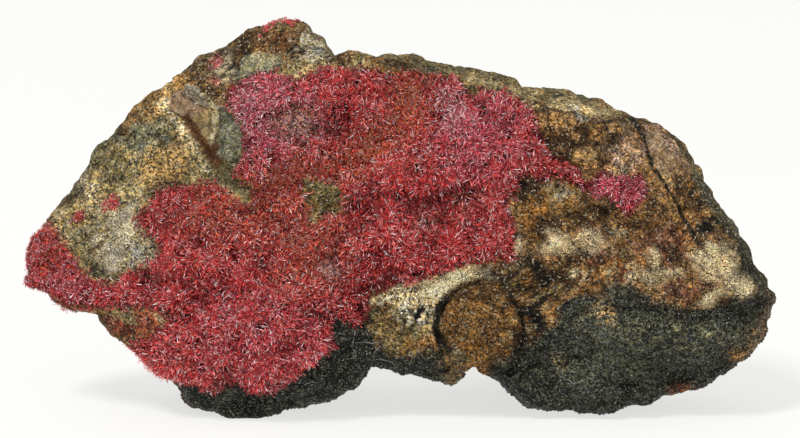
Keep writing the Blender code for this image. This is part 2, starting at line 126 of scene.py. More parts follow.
def chips(points, cell, seed):
    # broken facets: each lattice cell has a tilted, domed chip, and the proudest of the near ones shows
    place = points / cell
    base = np.floor(place).astype(np.int64)
    best = np.full(len(points), -1e9)
    for corner in np.ndindex(3, 3, 3):
        key = base + np.array(corner) - 1
        nudge = np.stack([latticeRandom(key, seed + i) for i in range(3)], axis=1)
        tilt = np.stack([latticeRandom(key, seed + 3 + i) for i in range(3)], axis=1)
        offset = place - key - 0.5 - chip["nudge"] * nudge
        height = (offset * tilt).sum(axis=1) * chip["tilt"] - (offset**2).sum(axis=1) * chip["dome"]
        best = np.maximum(best, height)
    return (best + chip["mean"]) * cell


def softMost(faces, sharpness):
    # the largest of several rules at each point, with the corner between two of them rounded
    stack = np.stack(np.broadcast_arrays(*faces))
    top = stack.max(axis=0)
    return top + np.log(np.exp(sharpness * (stack - top)).sum(axis=0)) / sharpness


# the rock: the same outline and facets as the solid, so that this skin lies on it

rock = {
    "lean": 12.0,             # degrees that the display face leans back
    "floor": -1.3,            # where the feet are broken off flat
    "originX": 0.1,
    "originY": 15.6,
    "centre": (-0.2, 27.7),   # every outline point is seen from here
    "columns": 311,           # grid of each half
    "rows": 157,
    "wallShare": 0.15,        # share of each half's radius that goes to the side walls
    "leastThickness": 5.0,
    "thickWall": 18.0,
    "outline": [
        (-56.0, 20.6), (-55.4, 22.2), (-55.9, 25.5), (-54.1, 28.6), (-52.1, 31.1), (-49.5, 34.3),
        (-46.9, 37.8), (-45.0, 40.8), (-42.9, 42.6), (-39.9, 46.6), (-37.1, 49.0), (-35.6, 49.3),
        (-32.3, 52.0), (-29.2, 54.4), (-24.4, 57.1), (-20.7, 58.6), (-17.0, 59.6), (-14.8, 59.5),
        (-10.4, 55.0), (-9.7, 54.5), (-7.7, 54.8), (-3.9, 53.6), (3.0, 54.1), (7.2, 52.7),
        (13.7, 51.7), (20.7, 49.2), (25.9, 48.7), (28.5, 48.1), (32.3, 46.0), (36.7, 44.8),
        (42.3, 41.6), (44.4, 38.4), (47.1, 31.7), (50.8, 27.3), (53.8, 22.5), (56.0, 17.9),
        (55.7, 15.6), (53.5, 11.6), (50.5, 8.8), (47.2, 7.2), (45.7, 5.5), (42.2, 4.2),
        (39.3, 4.2), (36.7, 2.5), (35.5, 3.0), (31.1, 1.5), (27.4, 1.0), (21.5, 1.8),
        (19.4, 2.2), (17.9, 3.6), (13.1, 7.2), (11.0, 8.5), (9.2, 7.6), (8.9, 6.3),
        (7.3, 5.4), (3.1, 6.6), (-1.6, 7.7), (-4.6, 7.9), (-7.3, 4.9), (-10.6, 3.3),
        (-14.3, 2.2), (-18.0, 1.3), (-21.8, 0.1), (-26.7, 0.3), (-28.5, 1.3), (-31.1, 1.8),
        (-33.2, 5.4), (-37.7, 9.1), (-42.3, 12.5), (-45.1, 16.2), (-49.9, 17.0), (-53.0, 19.2),
    ],
    # facets of the face: (point on the line where it starts, way it recedes, slope)
    "faceFacets": [
        ((-29.0, 30.0), (-0.95, 0.30), 0.31), ((-22.0, 50.5), (-0.35, 0.94), 0.55),
        ((14.8, 49.0), (0.27, 0.963), 2.7), ((36.5, 41.0), (0.867, 0.50), 0.30),
        ((44.8, 32.7), (0.824, 0.563), 2.2), ((51.8, 14.0), (0.90, -0.43), 1.3),
        ((24.0, 17.5), (0.06, -1.0), 0.33), ((-20.0, 11.5), (0.0, -1.0), 0.36),
        ((-46.0, 19.5), (-0.2, -0.98), 0.45),
    ],
    # facets of the back, with the depth they start from
    "backFacets": [
        ((0.0, 0.0), (0.02, 1.0), 0.10, 30.0), ((-20.0, 20.0), (-0.98, -0.2), 0.46, 28.0),
        ((-30.0, 38.0), (-0.62, 0.78), 0.62, 23.0), ((26.0, 20.0), (0.98, 0.2), 0.62, 29.0),
        ((32.0, 34.0), (0.70, 0.71), 0.80, 22.0), ((0.0, 30.0), (-0.12, 0.99), 0.52, 27.5),
        ((34.0, 8.0), (0.75, -0.66), 0.52, 27.0), ((-8.0, 12.0), (-0.3, -0.95), 0.16, 28.5),
    ],
    "ledgeTop": (-34.1, 47.8),
    "ledgeEnd": (-22.6, 33.1),
    "ledgeHeight": 2.1,
    "vein": [(34.4, 44.6), (37.4, 38.8), (40.1, 33.6), (43.0, 29.4)],
    "cleft": [(-36.0, 24.6), (-32.4, 20.4), (-29.0, 15.8)],
    "clast": ((11.9, 12.9), (5.7, 7.0)),
    # swells and hollows of the face: middle, half sizes, turn, and depth, negative where it stands proud
    "swells": [
        ((-22.0, 14.5), (12.5, 8.5), 12.0, -3.4),   # the lower lobe
        ((-12.0, 44.0), (11.0, 6.0), 0.0, -1.2),    # the upper crust's swell
        ((-17.5, 33.0), (7.0, 3.5), -15.0, 1.3),    # the saddle between them
        ((6.5, 29.5), (6.5, 3.6), 10.0, 1.7),       # the hollow right of the middle
        ((10.5, 39.5), (7.0, 5.0), 0.0, -1.3),      # the swell above it
        ((-10.6, 43.4), (2.2, 1.8), 0.0, 1.4),      # a cavity in the upper crust
        ((38.0, 5.6), (6.0, 1.5), 5.0, 1.6),        # undercut by the right foot
        ((-0.5, 12.0), (5.0, 2.6), -12.0, 1.0),     # dark hollow left of the clast
        ((7.2, 8.0), (2.0, 2.4), 0.0, -0.9),        # small knob over the arch
    ],
    "archLeft": (-11.0, -6.0),
    "archRight": (12.0, 17.0),
    "archRise": (9.0, 21.0),
    # chips of the face, the back and the side walls: cell in mm, seed, and share of their full height
    "faceChips": [(10.0, 211, 1.0), (4.5, 223, 0.5)],
    "backChips": [(19.0, 307, 1.0), (7.0, 311, 0.7)],
    "wallChips": [(11.0, 401, 1.0), (4.5, 409, 0.5)],
}


def facetRules(x, h, facets):
    # each facet is a plane that rises by its slope for every millimetre past its line
    for (x0, h0), (wayX, wayH), slope, *start in facets:
        yield slope * ((x - x0) * wayX + (h - h0) * wayH) - sum(start)


def ledgeStep(x, h):
    # the rock right of the ledge's line stands proud, and the step dies away at both ends
    (tx, th), (ex, eh) = rock["ledgeTop"], rock["ledgeEnd"]
    length = math.hypot(ex - tx, eh - th)
    along = ((x - tx) * (ex - tx) + (h - th) * (eh - th)) / length
    across = ((h - th) * (ex - tx) - (x - tx) * (eh - th)) / length
    shown = smoothStep(-6.0, 1.0, along) * (1.0 - smoothStep(length - 4.0, length + 5.0, along))
    away = np.exp(-np.maximum(across - 5.0, 0.0) / 9.0)
    return -rock["ledgeHeight"] * shown * smoothStep(-0.2, 1.1, across) * away


def ridge(distance, width):
    # a bell across a line: exp of minus the squared distance over the width
    return np.exp(-((distance / width) ** 2))


def faceForms(x, h):
    # swells, grooves and steps of the face as depth to add, negative towards the viewer
    (cx, ch), (rx, rh) = rock["clast"]
    ring = np.hypot((x - cx) / rx, (h - ch) / rh)
    blackSide = smoothStep(24.0, 31.0, x)
    pastSummit = np.maximum(0.80 * (x + 15.0) + 0.60 * (h - 54.5), 0.0)
    depth = ledgeStep(x, h)
    depth += sum(deep * mound(x, h, place, radii, turn) for place, radii, turn, deep in rock["swells"])
    depth += 0.6 * pastSummit * (1.0 - smoothStep(-13.0, -6.0, x))
    depth += 2.2 * ridge(runDistance(x, h, rock["cleft"]), 1.7)
    depth += 0.7 * ridge(runDistance(x, h, rock["vein"]), 0.55)
    depth += -1.1 * (1.0 - smoothStep(0.86, 1.02, ring))   # the brown clast stands proud
    depth += 0.9 * ridge(ring - 1.09, 0.09)                # in a groove
    depth += 1.2 * blackSide * ridge(h - 16.4, 1.1)        # shadowed groove over the right foot
    depth += -0.9 * blackSide * ridge(h - 12.6, 1.5)       # the ridge below it
    return depth


def chipLayers(points, layers):
    # chips of several sizes added up, each at its share of their full height
    return sum(share * chips(points, cell, seed) for cell, seed, share in layers)


def faceDepth(x, h, reach):
    # depth of the face: the steepest facets, the forms, a rounded rim and broken chips
    planes = [np.zeros(np.shape(x)), *facetRules(x, h, rock["faceFacets"])]
    depth = softMost(planes, 1.6) - math.log(2.0) / 1.6 + faceForms(x, h) + 1.5 * reach**18
    flat = np.column_stack([x, h, np.zeros(len(x))])
    hackly = 0.45 + 0.55 * smoothStep(12.0, 24.0, x)
    return depth - hackly * chipLayers(flat, rock["faceChips"]) + bumps(flat, [(14.0, 0.8), (2.0, 0.2)], 3)


def backDepth(x, h, reach, face):
    # depth of the back: the nearest facets, a rounded rim and larger chips, a least thickness behind the face
    depth = -softMost(list(facetRules(x, h, rock["backFacets"])), 1.1) - 1.6 * reach**10
    flat = np.column_stack([x, h, np.zeros(len(x))])
    depth += chipLayers(flat, rock["backChips"]) + bumps(flat, [(20.0, 1.5), (3.0, 0.35)], 41)
    return np.maximum(depth, face + rock["leastThickness"])


def outlineReach(angle):
    # distance from the outline's centre to the outline at an angle
    points = np.array(rock["outline"]) - rock["centre"]
    angles = np.arctan2(points[:, 1], points[:, 0])
    order = np.argsort(angles)
    return np.interp(angle, angles[order], np.hypot(*points.T)[order], period=2 * math.pi)


def rockSurface(angle, radius, onBack):
    # (x, h, depth) for an angle and a radius that is 0 in the middle and 1 half way down the wall
    share = rock["wallShare"]
    reach = np.minimum(radius / (1.0 - share), 1.0)
    wall = np.clip((radius - 1.0 + share) / share, 0.0, 1.0) * 0.5
    through = np.where(onBack, 1.0 - wall, wall)
    length = outlineReach(angle) * reach
    x = rock["centre"][0] + length * np.cos(angle)
    h = rock["centre"][1] + length * np.sin(angle)
    face = faceDepth(x, h, reach)
    back = backDepth(x, h, reach, face)
    depth = face + (back - face) * through
    rough = np.clip(chipLayers(np.column_stack([x, h, depth]), rock["wallChips"]), -1.6, 0.5)
    rough *= np.minimum((back - face) / rock["thickWall"], 1.0) * np.sin(math.pi * through)
    x = x + np.cos(angle) * rough
    h = h + np.sin(angle) * rough
    overArch = smoothStep(*rock["archLeft"], x) * (1.0 - smoothStep(*rock["archRight"], x))
    overArch *= 1.0 - smoothStep(*rock["archRise"], h)
    h = h + overArch * (depth - face) * math.tan(math.radians(rock["lean"]))
    return np.column_stack([x, h, depth])


def stoodUp(points):
    # from (x, h, depth) of the leaning picture plane to the object's own frame, still in millimetres
    lean = math.radians(rock["lean"])
    x, h, depth = points.T
    y = h * math.sin(lean) + depth * math.cos(lean) - rock["originY"]
    z = h * math.cos(lean) - depth * math.sin(lean) - rock["floor"]
    return np.column_stack([x - rock["originX"], y, z])


def discGrid(columns, rows):
    # a square grid bent onto a disc: square rings become circles, so its rim is evenly divided
    a, b = np.meshgrid(np.linspace(-1, 1, columns), np.linspace(-1, 1, rows))
    wide = np.abs(a) >= np.abs(b)
    safeA, safeB = np.where(a == 0, 1.0, a), np.where(b == 0, 1.0, b)
    turn = np.where(wide, math.pi / 4 * b / safeA, math.pi / 2 - math.pi / 4 * a / safeB)
    ring = np.where(wide, a, b)
    angle = np.arctan2(ring * np.sin(turn), ring * np.cos(turn))
    return angle.ravel(), np.abs(ring).ravel(), a.ravel(), b.ravel()


def unit(vectors):
    # each vector divided by its length
    return vectors / np.maximum(np.linalg.norm(vectors, axis=1, keepdims=True), 1e-12)


def cornerNormals(points, faces):
    # the normal at each vertex: the cross products of the faces round it, added up
    a, b, c, d = (points[faces[:, i]] for i in range(4))
    facing = np.cross(c - a, d - b)
    total = np.zeros_like(points)
    for i in range(4):
        np.add.at(total, faces[:, i], facing)
    return unit(total)


def makeMesh(name, points, faces, material, unwrapped=None, smooth=True):
    # a mesh object from arrays: points in metres, faces as rows of equal length, one UV for each corner
    mesh = bpy.data.meshes.new(name)
    mesh.vertices.add(len(points))
    mesh.vertices.foreach_set("co", points.astype(np.float32).ravel())
    mesh.loops.add(faces.size)
    mesh.loops.foreach_set("vertex_index", faces.astype(np.int32).ravel())
    mesh.polygons.add(len(faces))
    mesh.polygons.foreach_set("loop_start", np.arange(0, faces.size, faces.shape[1], dtype=np.int32))
    mesh.polygons.foreach_set("use_smooth", np.full(len(faces), smooth))
    mesh.update(calc_edges=True)
    if unwrapped is not None:
        layer = mesh.uv_layers.new(name="OFBake")
        layer.data.foreach_set("uv", unwrapped.astype(np.float32).ravel())
    mesh.materials.append(material)
    obj = bpy.data.objects.new(name, mesh)
    bpy.context.scene.collection.objects.link(obj)
    return obj


def settle(piece):
    # every piece moves with the specimen's one body
    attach(piece, "root")
    print(piece.name, len(piece.data.loops) - 2 * len(piece.data.polygons), "triangles")


def paint(obj, name, colours):
    # a colour for each vertex, stored under a name that a material reads
    layer = obj.data.color_attributes.new(name, "FLOAT_COLOR", "POINT")
    rgba = np.pad(colours, ((0, 0), (0, 1)), constant_values=1.0)
    layer.data.foreach_set("color", rgba.astype(np.float32).ravel())


def feed(tree, socket, value):
    # a socket gets a number, a colour, or another node's output joined to it
    if isinstance(value, bpy.types.NodeSocket):
        tree.links.new(value, socket)
    else:
        socket.default_value = value


def addNode(tree, kind, **settings):
    # one shader node, with its sockets by name and its own settings
    node = tree.nodes.new("ShaderNode" + kind)
    for key, value in settings.items():
        if key in node.inputs:
            feed(tree, node.inputs[key], value)
        else:
            setattr(node, key, value)
    return node


def calc(tree, operation, *values):
    # a maths node fed with numbers and other nodes' outputs
    node = addNode(tree, "Math", operation=operation)
    for socket, value in zip(node.inputs, values):
        feed(tree, socket, value)
    return node.outputs[0]


def mix(tree, share, first, second, blend="MIX"):
    # a colour mix: first * (1 - share) + second * share, unless blend says otherwise
    node = addNode(tree, "Mix", data_type="RGBA", blend_type=blend)
    for i, value in ((0, share), (6, first), (7, second)):
        feed(tree, node.inputs[i], (*value, 1.0) if isinstance(value, tuple) else value)
    return node.outputs[2]


def texture(tree, kind, scale, **settings):
    # a texture in the object's own coordinates, unless it is given others
    if "Vector" not in settings:
        settings["Vector"] = addNode(tree, "TexCoord").outputs["Object"]
    return addNode(tree, "Tex" + kind, Scale=scale, **settings).outputs


def attribute(tree, name):
    # a colour painted on the vertices, by the name it is stored under
    return addNode(tree, "Attribute", attribute_name=name).outputs["Color"]


def channels(tree, colour):
    # the red, green and blue of a colour, apart
    return addNode(tree, "SeparateColor", Color=colour).outputs


def times(tree, colour, factor):
    # a colour made lighter or darker
    return addNode(tree, "VectorMath", operation="SCALE", Vector=colour, Scale=factor).outputs["Vector"]


def newMaterial(name):
    # a material and its node tree, which starts with the usual shader
    material = bpy.data.materials.new(name)
    material.use_nodes = True
    return material, material.node_tree


def finish(tree, sockets):
    # values and colours fed into the shader's sockets by name
    for name, value in sockets.items():
        feed(tree, tree.nodes["Principled BSDF"].inputs[name], value)


def tintedFinish(name, tint, scale, detail, gain, least, roughness, specular=0.5):
    # a painted colour made lighter and darker by noise: colour * (gain * noise + least)
    material, tree = newMaterial(name)
    cloud = texture(tree, "Noise", scale, Detail=detail)["Fac"]
    colour = times(tree, attribute(tree, tint), calc(tree, "MULTIPLY_ADD", cloud, gain, least))
    finish(tree, {"Base Color": colour, "Roughness": roughness, "Specular IOR Level": specular})
    return material


def manyForms(name, points, rows, cell, material, tintName, tints):
    # one mesh of many small forms with the same faces, each in its own cell of the UV square
    count, corners = points.shape[:2]
    faces = (np.array(rows) + np.arange(count)[:, None, None] * corners).reshape(-1, 3)
    side = math.ceil(math.sqrt(count))
    corner = np.column_stack([np.arange(count) % side, np.arange(count) // side])
    unwrapped = ((corner[:, None] + np.array(cell)) / side).reshape(-1, 2)
    obj = makeMesh(name, points.reshape(-1, 3) * mm, faces, material, unwrapped[faces.ravel()], smooth=False)
    paint(obj, tintName, tints)
    return obj


# where the crystals grow, and what colour each part of the rock is

crust = {
    "edge": [
        (-25.9, 49.9), (-22.5, 51.4), (-19.2, 52.6), (-16.5, 51.1), (-13.0, 51.9), (-11.3, 53.4),
        (-10.0, 52.3), (-7.0, 52.7), (-4.8, 52.8), (-0.9, 52.0), (1.2, 52.7), (3.6, 52.0),
        (8.2, 51.3), (10.4, 48.6), (12.4, 49.6), (16.4, 49.0), (19.7, 46.3), (20.4, 44.4),
        (22.3, 40.1), (25.6, 38.1), (27.4, 35.9), (30.5, 37.7), (31.7, 36.5), (35.8, 37.4),
        (37.1, 33.8), (33.5, 29.9), (31.9, 32.6), (28.2, 33.5), (24.4, 35.9), (21.0, 35.3),
        (18.3, 37.2), (16.4, 32.9), (17.4, 27.7), (17.1, 25.5), (18.3, 23.7), (11.8, 23.7),
        (5.8, 21.8), (1.6, 20.4), (-2.5, 19.5), (-4.3, 19.1), (-4.9, 15.3), (-7.3, 13.4),
        (-9.4, 15.5), (-10.0, 13.6), (-9.2, 11.3), (-11.8, 9.4), (-15.8, 6.1), (-19.5, 3.9),
        (-21.8, 3.7), (-24.3, 5.7), (-28.2, 3.6), (-30.9, 5.0), (-34.6, 5.4), (-38.3, 8.2),
        (-41.8, 11.0), (-36.2, 13.3), (-35.0, 14.8), (-35.9, 16.2), (-38.9, 16.8), (-44.0, 16.6),
        (-50.2, 16.8), (-53.4, 18.8), (-57.0, 20.0), (-57.0, 26.0), (-55.4, 29.0), (-52.4, 30.2),
        (-49.3, 25.2), (-47.2, 22.1), (-44.1, 20.4), (-41.0, 22.2), (-37.1, 23.7), (-35.6, 25.2),
        (-37.7, 27.6), (-40.2, 29.7), (-37.8, 32.5), (-35.9, 35.3), (-31.4, 35.3), (-28.3, 36.2),
        (-24.9, 33.9), (-22.2, 32.2), (-22.5, 34.2), (-25.2, 37.0), (-24.3, 38.6),
        (-23.4, 39.8), (-24.0, 44.1), (-26.1, 47.1),
    ],
    "window": [
        (-14.0, 35.7), (-11.9, 35.2), (-9.7, 34.6), (-8.6, 33.6), (-9.0, 31.5), (-11.3, 30.9),
        (-13.1, 29.6), (-13.8, 31.9),
    ],
    "summit": [
        (-21.3, 57.3), (-20.9, 58.6), (-18.9, 59.8), (-17.0, 60.8), (-14.0, 60.8), (-14.2, 59.1),
        (-16.0, 58.9), (-18.0, 58.3), (-19.6, 57.5),
    ],
    "upperTuft": ((-43.2, 32.5), 1.0),
    "lowerTuft": ((-48.5, 30.3), 0.65),
}

# places where the needles are worn short
matWorn = [((-15.4, 44.4), (3.2, 2.4), 10), ((-10.6, 22.6), (1.9, 1.7), 0), ((4.0, 30.0), (2.5, 1.6), 0)]

# places where the felt is short and even, with no bursts
matVelvet = [
    ((-52.0, 25.5), (6.0, 6.5), 0), ((-28.0, 32.0), (7.0, 3.0), 10), ((-14.0, 26.0), (5.0, 4.0), 0),
    ((1.0, 48.0), (2.8, 4.5), -12), ((-5.0, 41.5), (5.0, 2.2), 35), ((-15.4, 44.4), (3.2, 2.4), 10),
    ((-15.0, 37.0), (7.0, 2.0), 10),
]

# the rock's colours, as a screen shows them
stone = {
    "brown": (108, 82, 50),
    "darkBrown": (60, 42, 24),
    "lightBrown": (118, 88, 56),
    "clastBrown": (102, 76, 42),
    "ledgeBrown": (92, 54, 30),
    "ochre": (146, 116, 74),
    "orange": (132, 92, 44),
    "rust": (112, 58, 34),
    "maroon": (106, 68, 56),
    "pinkGrey": (136, 114, 98),
    "pinkStain": (160, 92, 98),
    "roseBrown": (146, 74, 56),
    "ochreTan": (134, 112, 74),
    "plateTan": (128, 112, 82),
    "lilacGrey": (118, 114, 104),
    "lilacBrown": (126, 108, 90),
    "greenGrey": (120, 120, 100),
    "tan": (140, 126, 92),
    "paleTan": (172, 158, 122),
    "olive": (100, 94, 66),
    "darkOlive": (62, 62, 46),
    "greyGreen": (102, 103, 84),
    "slate": (96, 98, 84),
    "grey": (134, 130, 114),
    "druseGrey": (170, 161, 134),
    "whitish": (172, 166, 148),
    "cream": (154, 145, 121),
    "litFootGrey": (67, 70, 59),
    "black": (18, 19, 16),
    "greenBlack": (50, 53, 42),
    "yellowGreen": (104, 98, 66),
}

# soft patches from the bottom layer up: (middle x, h), (half width, half height), turn, colour, strength
patches = [
    ((-36.0, 38.0), (26.0, 22.0), 40, "tan", 0.8),
    ((-38.0, 36.0), (10.0, 3.0), 45, "olive", 0.7),
    ((-39.6, 44.6), (6.0, 2.4), 48, "brown", 0.9),
    ((-33.4, 48.0), (3.4, 2.2), 30, "ochre", 0.5),
    ((-46.4, 38.6), (9.5, 1.4), 52, "darkOlive", 0.85),
    ((-37.8, 42.6), (4.6, 2.4), 20, "greyGreen", 0.95),
    ((-43.6, 37.4), (3.2, 3.6), 20, "olive", 0.85),
    ((-47.0, 33.5), (2.6, 4.0), 35, "grey", 0.45),
    ((-42.0, 33.2), (4.6, 2.4), 15, "tan", 0.8),
    ((-35.0, 38.0), (5.2, 2.8), 22, "ochre", 0.6),
    ((-31.8, 41.2), (1.6, 2.0), 20, "paleTan", 0.8),
    ((-34.0, 35.4), (2.6, 1.2), 8, "darkBrown", 0.7),
    ((-29.8, 37.0), (3.2, 2.6), -30, "olive", 0.8),
    ((-46.6, 26.4), (3.0, 5.0), 18, "olive", 0.7),
    ((-24.0, 53.6), (6.4, 2.8), 32, "darkBrown", 0.95),
    ((-19.4, 56.0), (4.6, 2.0), 10, "brown", 0.95),
    ((-17.6, 56.4), (2.2, 1.2), 0, "rust", 0.4),
    ((-13.4, 55.3), (3.0, 3.2), 0, "grey", 0.95),
    ((-20.6, 52.0), (4.0, 1.9), 10, "greyGreen", 0.95),
    ((-14.0, 51.8), (4.2, 1.9), 0, "tan", 0.95),
    ((-16.6, 51.6), (0.9, 1.5), 0, "olive", 0.9),
    ((-10.8, 53.0), (1.4, 2.4), -40, "olive", 0.6),
    ((-31.0, 50.4), (3.0, 2.4), 40, "brown", 0.95),
    ((-27.6, 48.6), (2.4, 2.4), 0, "brown", 0.9),
    ((-26.0, 52.2), (1.5, 2.3), -15, "cream", 0.9),
    ((-27.7, 53.8), (1.4, 0.8), 45, "pinkStain", 0.9),
    ((-27.5, 50.7), (1.0, 0.9), 10, "pinkStain", 0.8),
    ((-34.4, 47.6), (2.0, 1.0), 30, "paleTan", 0.85),
    ((-30.6, 47.2), (2.2, 1.0), -30, "slate", 0.8),
    ((-28.8, 46.6), (2.0, 1.1), -25, "pinkGrey", 0.8),
    ((-30.2, 43.8), (4.0, 2.3), -48, "tan", 0.95),
    ((-31.6, 45.2), (2.0, 1.4), -45, "paleTan", 0.7),
    ((-27.6, 43.6), (0.7, 3.4), 12, "paleTan", 0.85),
    ((-25.6, 41.4), (2.0, 3.8), 8, "slate", 0.95),
    ((-25.0, 36.2), (1.6, 2.0), 20, "olive", 0.9),
    ((-41.3, 27.0), (5.0, 5.6), 20, "grey", 0.8),
    ((-41.2, 28.6), (2.4, 3.4), 15, "whitish", 0.6),
    ((-43.6, 24.2), (3.0, 2.6), 0, "whitish", 0.75),
    ((-38.6, 25.0), (3.4, 1.9), 0, "grey", 0.85),
    ((-45.8, 22.4), (1.6, 0.9), 0, "darkOlive", 0.9),
    ((-39.8, 14.8), (5.4, 2.0), 0, "darkBrown", 0.9),
    ((-37.6, 14.0), (4.4, 2.0), -30, "roseBrown", 0.75),
    ((-42.0, 13.8), (2.2, 1.4), -30, "roseBrown", 0.7),
    ((-41.4, 15.6), (1.8, 0.9), 10, "olive", 0.9),
    ((-36.4, 15.2), (1.0, 0.7), 0, "paleTan", 0.6),
    ((-11.3, 33.2), (2.2, 2.4), 0, "olive", 0.95),
    # the long right side
    ((33.0, 33.0), (24.0, 16.0), -20, "lightBrown", 1.0),
    ((14.0, 51.3), (17.0, 1.9), -14, "olive", 0.95),
    ((12.4, 50.2), (3.4, 1.0), -14, "tan", 0.7),
    ((17.6, 49.6), (3.0, 1.0), -14, "tan", 0.7),
    ((23.4, 46.9), (3.4, 0.8), -8, "paleTan", 0.85),
    ((28.8, 46.0), (3.6, 0.9), -12, "paleTan", 0.85),
    ((26.6, 47.8), (3.4, 0.8), -8, "darkOlive", 0.9),
    ((33.0, 45.4), (3.0, 1.0), -25, "olive", 0.8),
    ((22.6, 44.9), (2.6, 1.7), -15, "ochre", 0.7),
    ((26.4, 45.2), (1.1, 0.4), -48, "paleTan", 0.8),
    ((20.8, 42.2), (1.2, 2.8), 32, "darkBrown", 0.95),
    ((26.5, 42.0), (4.6, 2.2), -18, "darkBrown", 0.9),
    ((23.4, 39.8), (2.6, 1.3), -25, "darkBrown", 0.9),
    ((29.4, 43.0), (1.4, 1.2), 0, "orange", 0.6),
    ((27.7, 39.2), (2.4, 1.5), -8, "ochre", 0.75),
    ((31.0, 43.0), (2.4, 1.6), -20, "ochre", 0.6),
    ((33.2, 40.4), (2.7, 2.9), -15, "pinkGrey", 0.8),
    ((32.0, 37.6), (1.4, 0.8), 0, "paleTan", 0.5),
    ((39.8, 40.0), (2.6, 4.6), 28, "pinkGrey", 0.8),
    ((41.6, 36.4), (1.6, 2.4), 25, "brown", 0.7),
    ((39.2, 36.0), (0.9, 1.6), 20, "paleTan", 0.4),
    ((42.2, 31.6), (2.3, 2.4), 25, "ochre", 0.45),
    ((44.4, 33.4), (1.4, 2.6), 25, "darkBrown", 0.75),
    ((44.0, 39.4), (1.7, 5.6), 26, "olive", 0.8),
    ((47.4, 33.0), (1.5, 5.5), 33, "olive", 0.8),
    ((50.6, 28.6), (1.2, 6.5), 36, "darkOlive", 0.95),
    ((53.2, 22.4), (1.3, 4.5), 32, "darkOlive", 0.95),
    ((45.7, 29.2), (1.9, 1.2), 32, "black", 1.0),
    ((22.6, 32.6), (6.0, 3.8), 0, "olive", 0.5),
    ((20.0, 30.2), (2.2, 3.4), 0, "orange", 0.75),
    ((25.5, 31.8), (2.0, 1.5), 0, "orange", 0.6),
    ((21.0, 28.6), (1.1, 1.8), 0, "darkBrown", 0.9),
    ((28.5, 31.4), (4.0, 1.9), 0, "brown", 0.9),
    ((30.6, 31.6), (3.0, 1.2), -8, "darkBrown", 0.6),
    ((18.8, 35.4), (1.8, 1.9), 0, "darkBrown", 0.95),
    ((24.2, 34.4), (1.4, 1.1), 0, "grey", 0.9),
    ((35.0, 29.2), (3.6, 2.4), 0, "ochre", 0.35),
    ((39.3, 26.6), (4.0, 3.4), 20, "maroon", 0.75),
    ((23.9, 26.5), (2.8, 1.7), 5, "cream", 0.75),
    ((22.4, 27.6), (1.4, 1.0), 5, "whitish", 0.4),
    ((28.4, 26.6), (2.6, 1.8), -4, "cream", 0.65),
    ((33.2, 27.8), (2.6, 1.0), -8, "grey", 0.85),
    ((25.6, 24.9), (1.6, 0.8), 0, "cream", 0.6),
    ((17.7, 25.8), (0.9, 1.3), 0, "whitish", 0.8),
    ((28.4, 22.6), (7.6, 2.0), 0, "orange", 0.65),
    ((20.8, 24.0), (2.4, 0.8), 0, "maroon", 0.8),
    ((29.0, 24.2), (3.0, 0.9), -5, "maroon", 0.8),
    ((26.0, 21.6), (2.0, 1.0), 0, "darkBrown", 0.7),
    ((32.6, 22.0), (2.2, 1.4), 0, "rust", 0.7),
    ((37.4, 24.2), (1.3, 1.7), -10, "cream", 0.9),
    ((37.4, 21.6), (1.9, 1.7), 0, "cream", 0.8),
    ((40.9, 22.0), (2.0, 0.7), -8, "cream", 0.8),
    ((41.8, 19.4), (2.5, 1.7), 0, "maroon", 0.95),
    ((47.0, 24.2), (3.7, 2.6), -12, "cream", 0.95),
    ((50.0, 21.0), (3.1, 2.0), -45, "cream", 0.95),
    ((46.2, 18.5), (2.4, 1.0), 18, "cream", 0.9),
    ((47.8, 23.2), (1.8, 1.3), 0, "pinkGrey", 0.45),
    ((45.0, 20.8), (1.3, 0.9), -20, "maroon", 0.7),
    # the column of mixed black and brown between the clast and the black foot
    ((19.6, 18.0), (5.0, 6.5), 0, "brown", 0.8),
    ((21.4, 22.2), (3.6, 1.5), -8, "black", 0.9),
    ((16.0, 21.6), (1.2, 2.4), 30, "darkBrown", 0.9),
    ((17.2, 22.6), (1.0, 1.0), 0, "rust", 0.7),
    ((24.0, 19.4), (1.6, 1.8), 10, "black", 0.85),
    ((21.2, 18.6), (1.2, 1.4), 10, "black", 0.7),
    ((18.6, 17.4), (1.1, 2.6), 0, "orange", 0.7),
    ((20.6, 14.6), (1.6, 2.6), -10, "ochre", 0.5),
    ((22.8, 16.0), (0.6, 4.2), -38, "orange", 0.8),
    ((19.0, 12.4), (1.0, 2.0), 0, "black", 0.7),
    # under the mat in the middle
    ((1.0, 13.6), (6.0, 3.6), -5, "olive", 0.95),
    ((3.6, 12.2), (3.8, 1.2), 6, "orange", 0.7),
    ((-1.6, 13.8), (2.6, 2.0), 0, "ochre", 0.45),
    ((4.6, 14.2), (2.4, 1.2), 0, "paleTan", 0.5),
    ((-0.4, 19.0), (4.4, 1.6), 20, "grey", 0.95),
    ((5.6, 19.8), (3.8, 1.6), 8, "whitish", 0.95),
    ((10.2, 21.6), (3.6, 1.5), -4, "whitish", 0.95),
    ((12.2, 21.2), (1.6, 1.1), -30, "cream", 0.9),
    ((2.6, 16.8), (2.8, 1.9), 42, "grey", 0.95),
]

# the brown inclusion over the arch
clastEdge = [
    (9.6, 20.7), (8.2, 19.7), (6.8, 18.7), (6.0, 16.9), (6.0, 14.0), (6.8, 12.5), (9.1, 10.7),
    (10.7, 8.9), (11.8, 7.8), (12.7, 7.2), (13.4, 8.9), (14.7, 9.6), (15.9, 8.9), (17.3, 9.3),
    (17.8, 11.8), (17.7, 14.6), (16.5, 17.4), (14.7, 19.9), (13.4, 20.8), (11.5, 21.0),
]

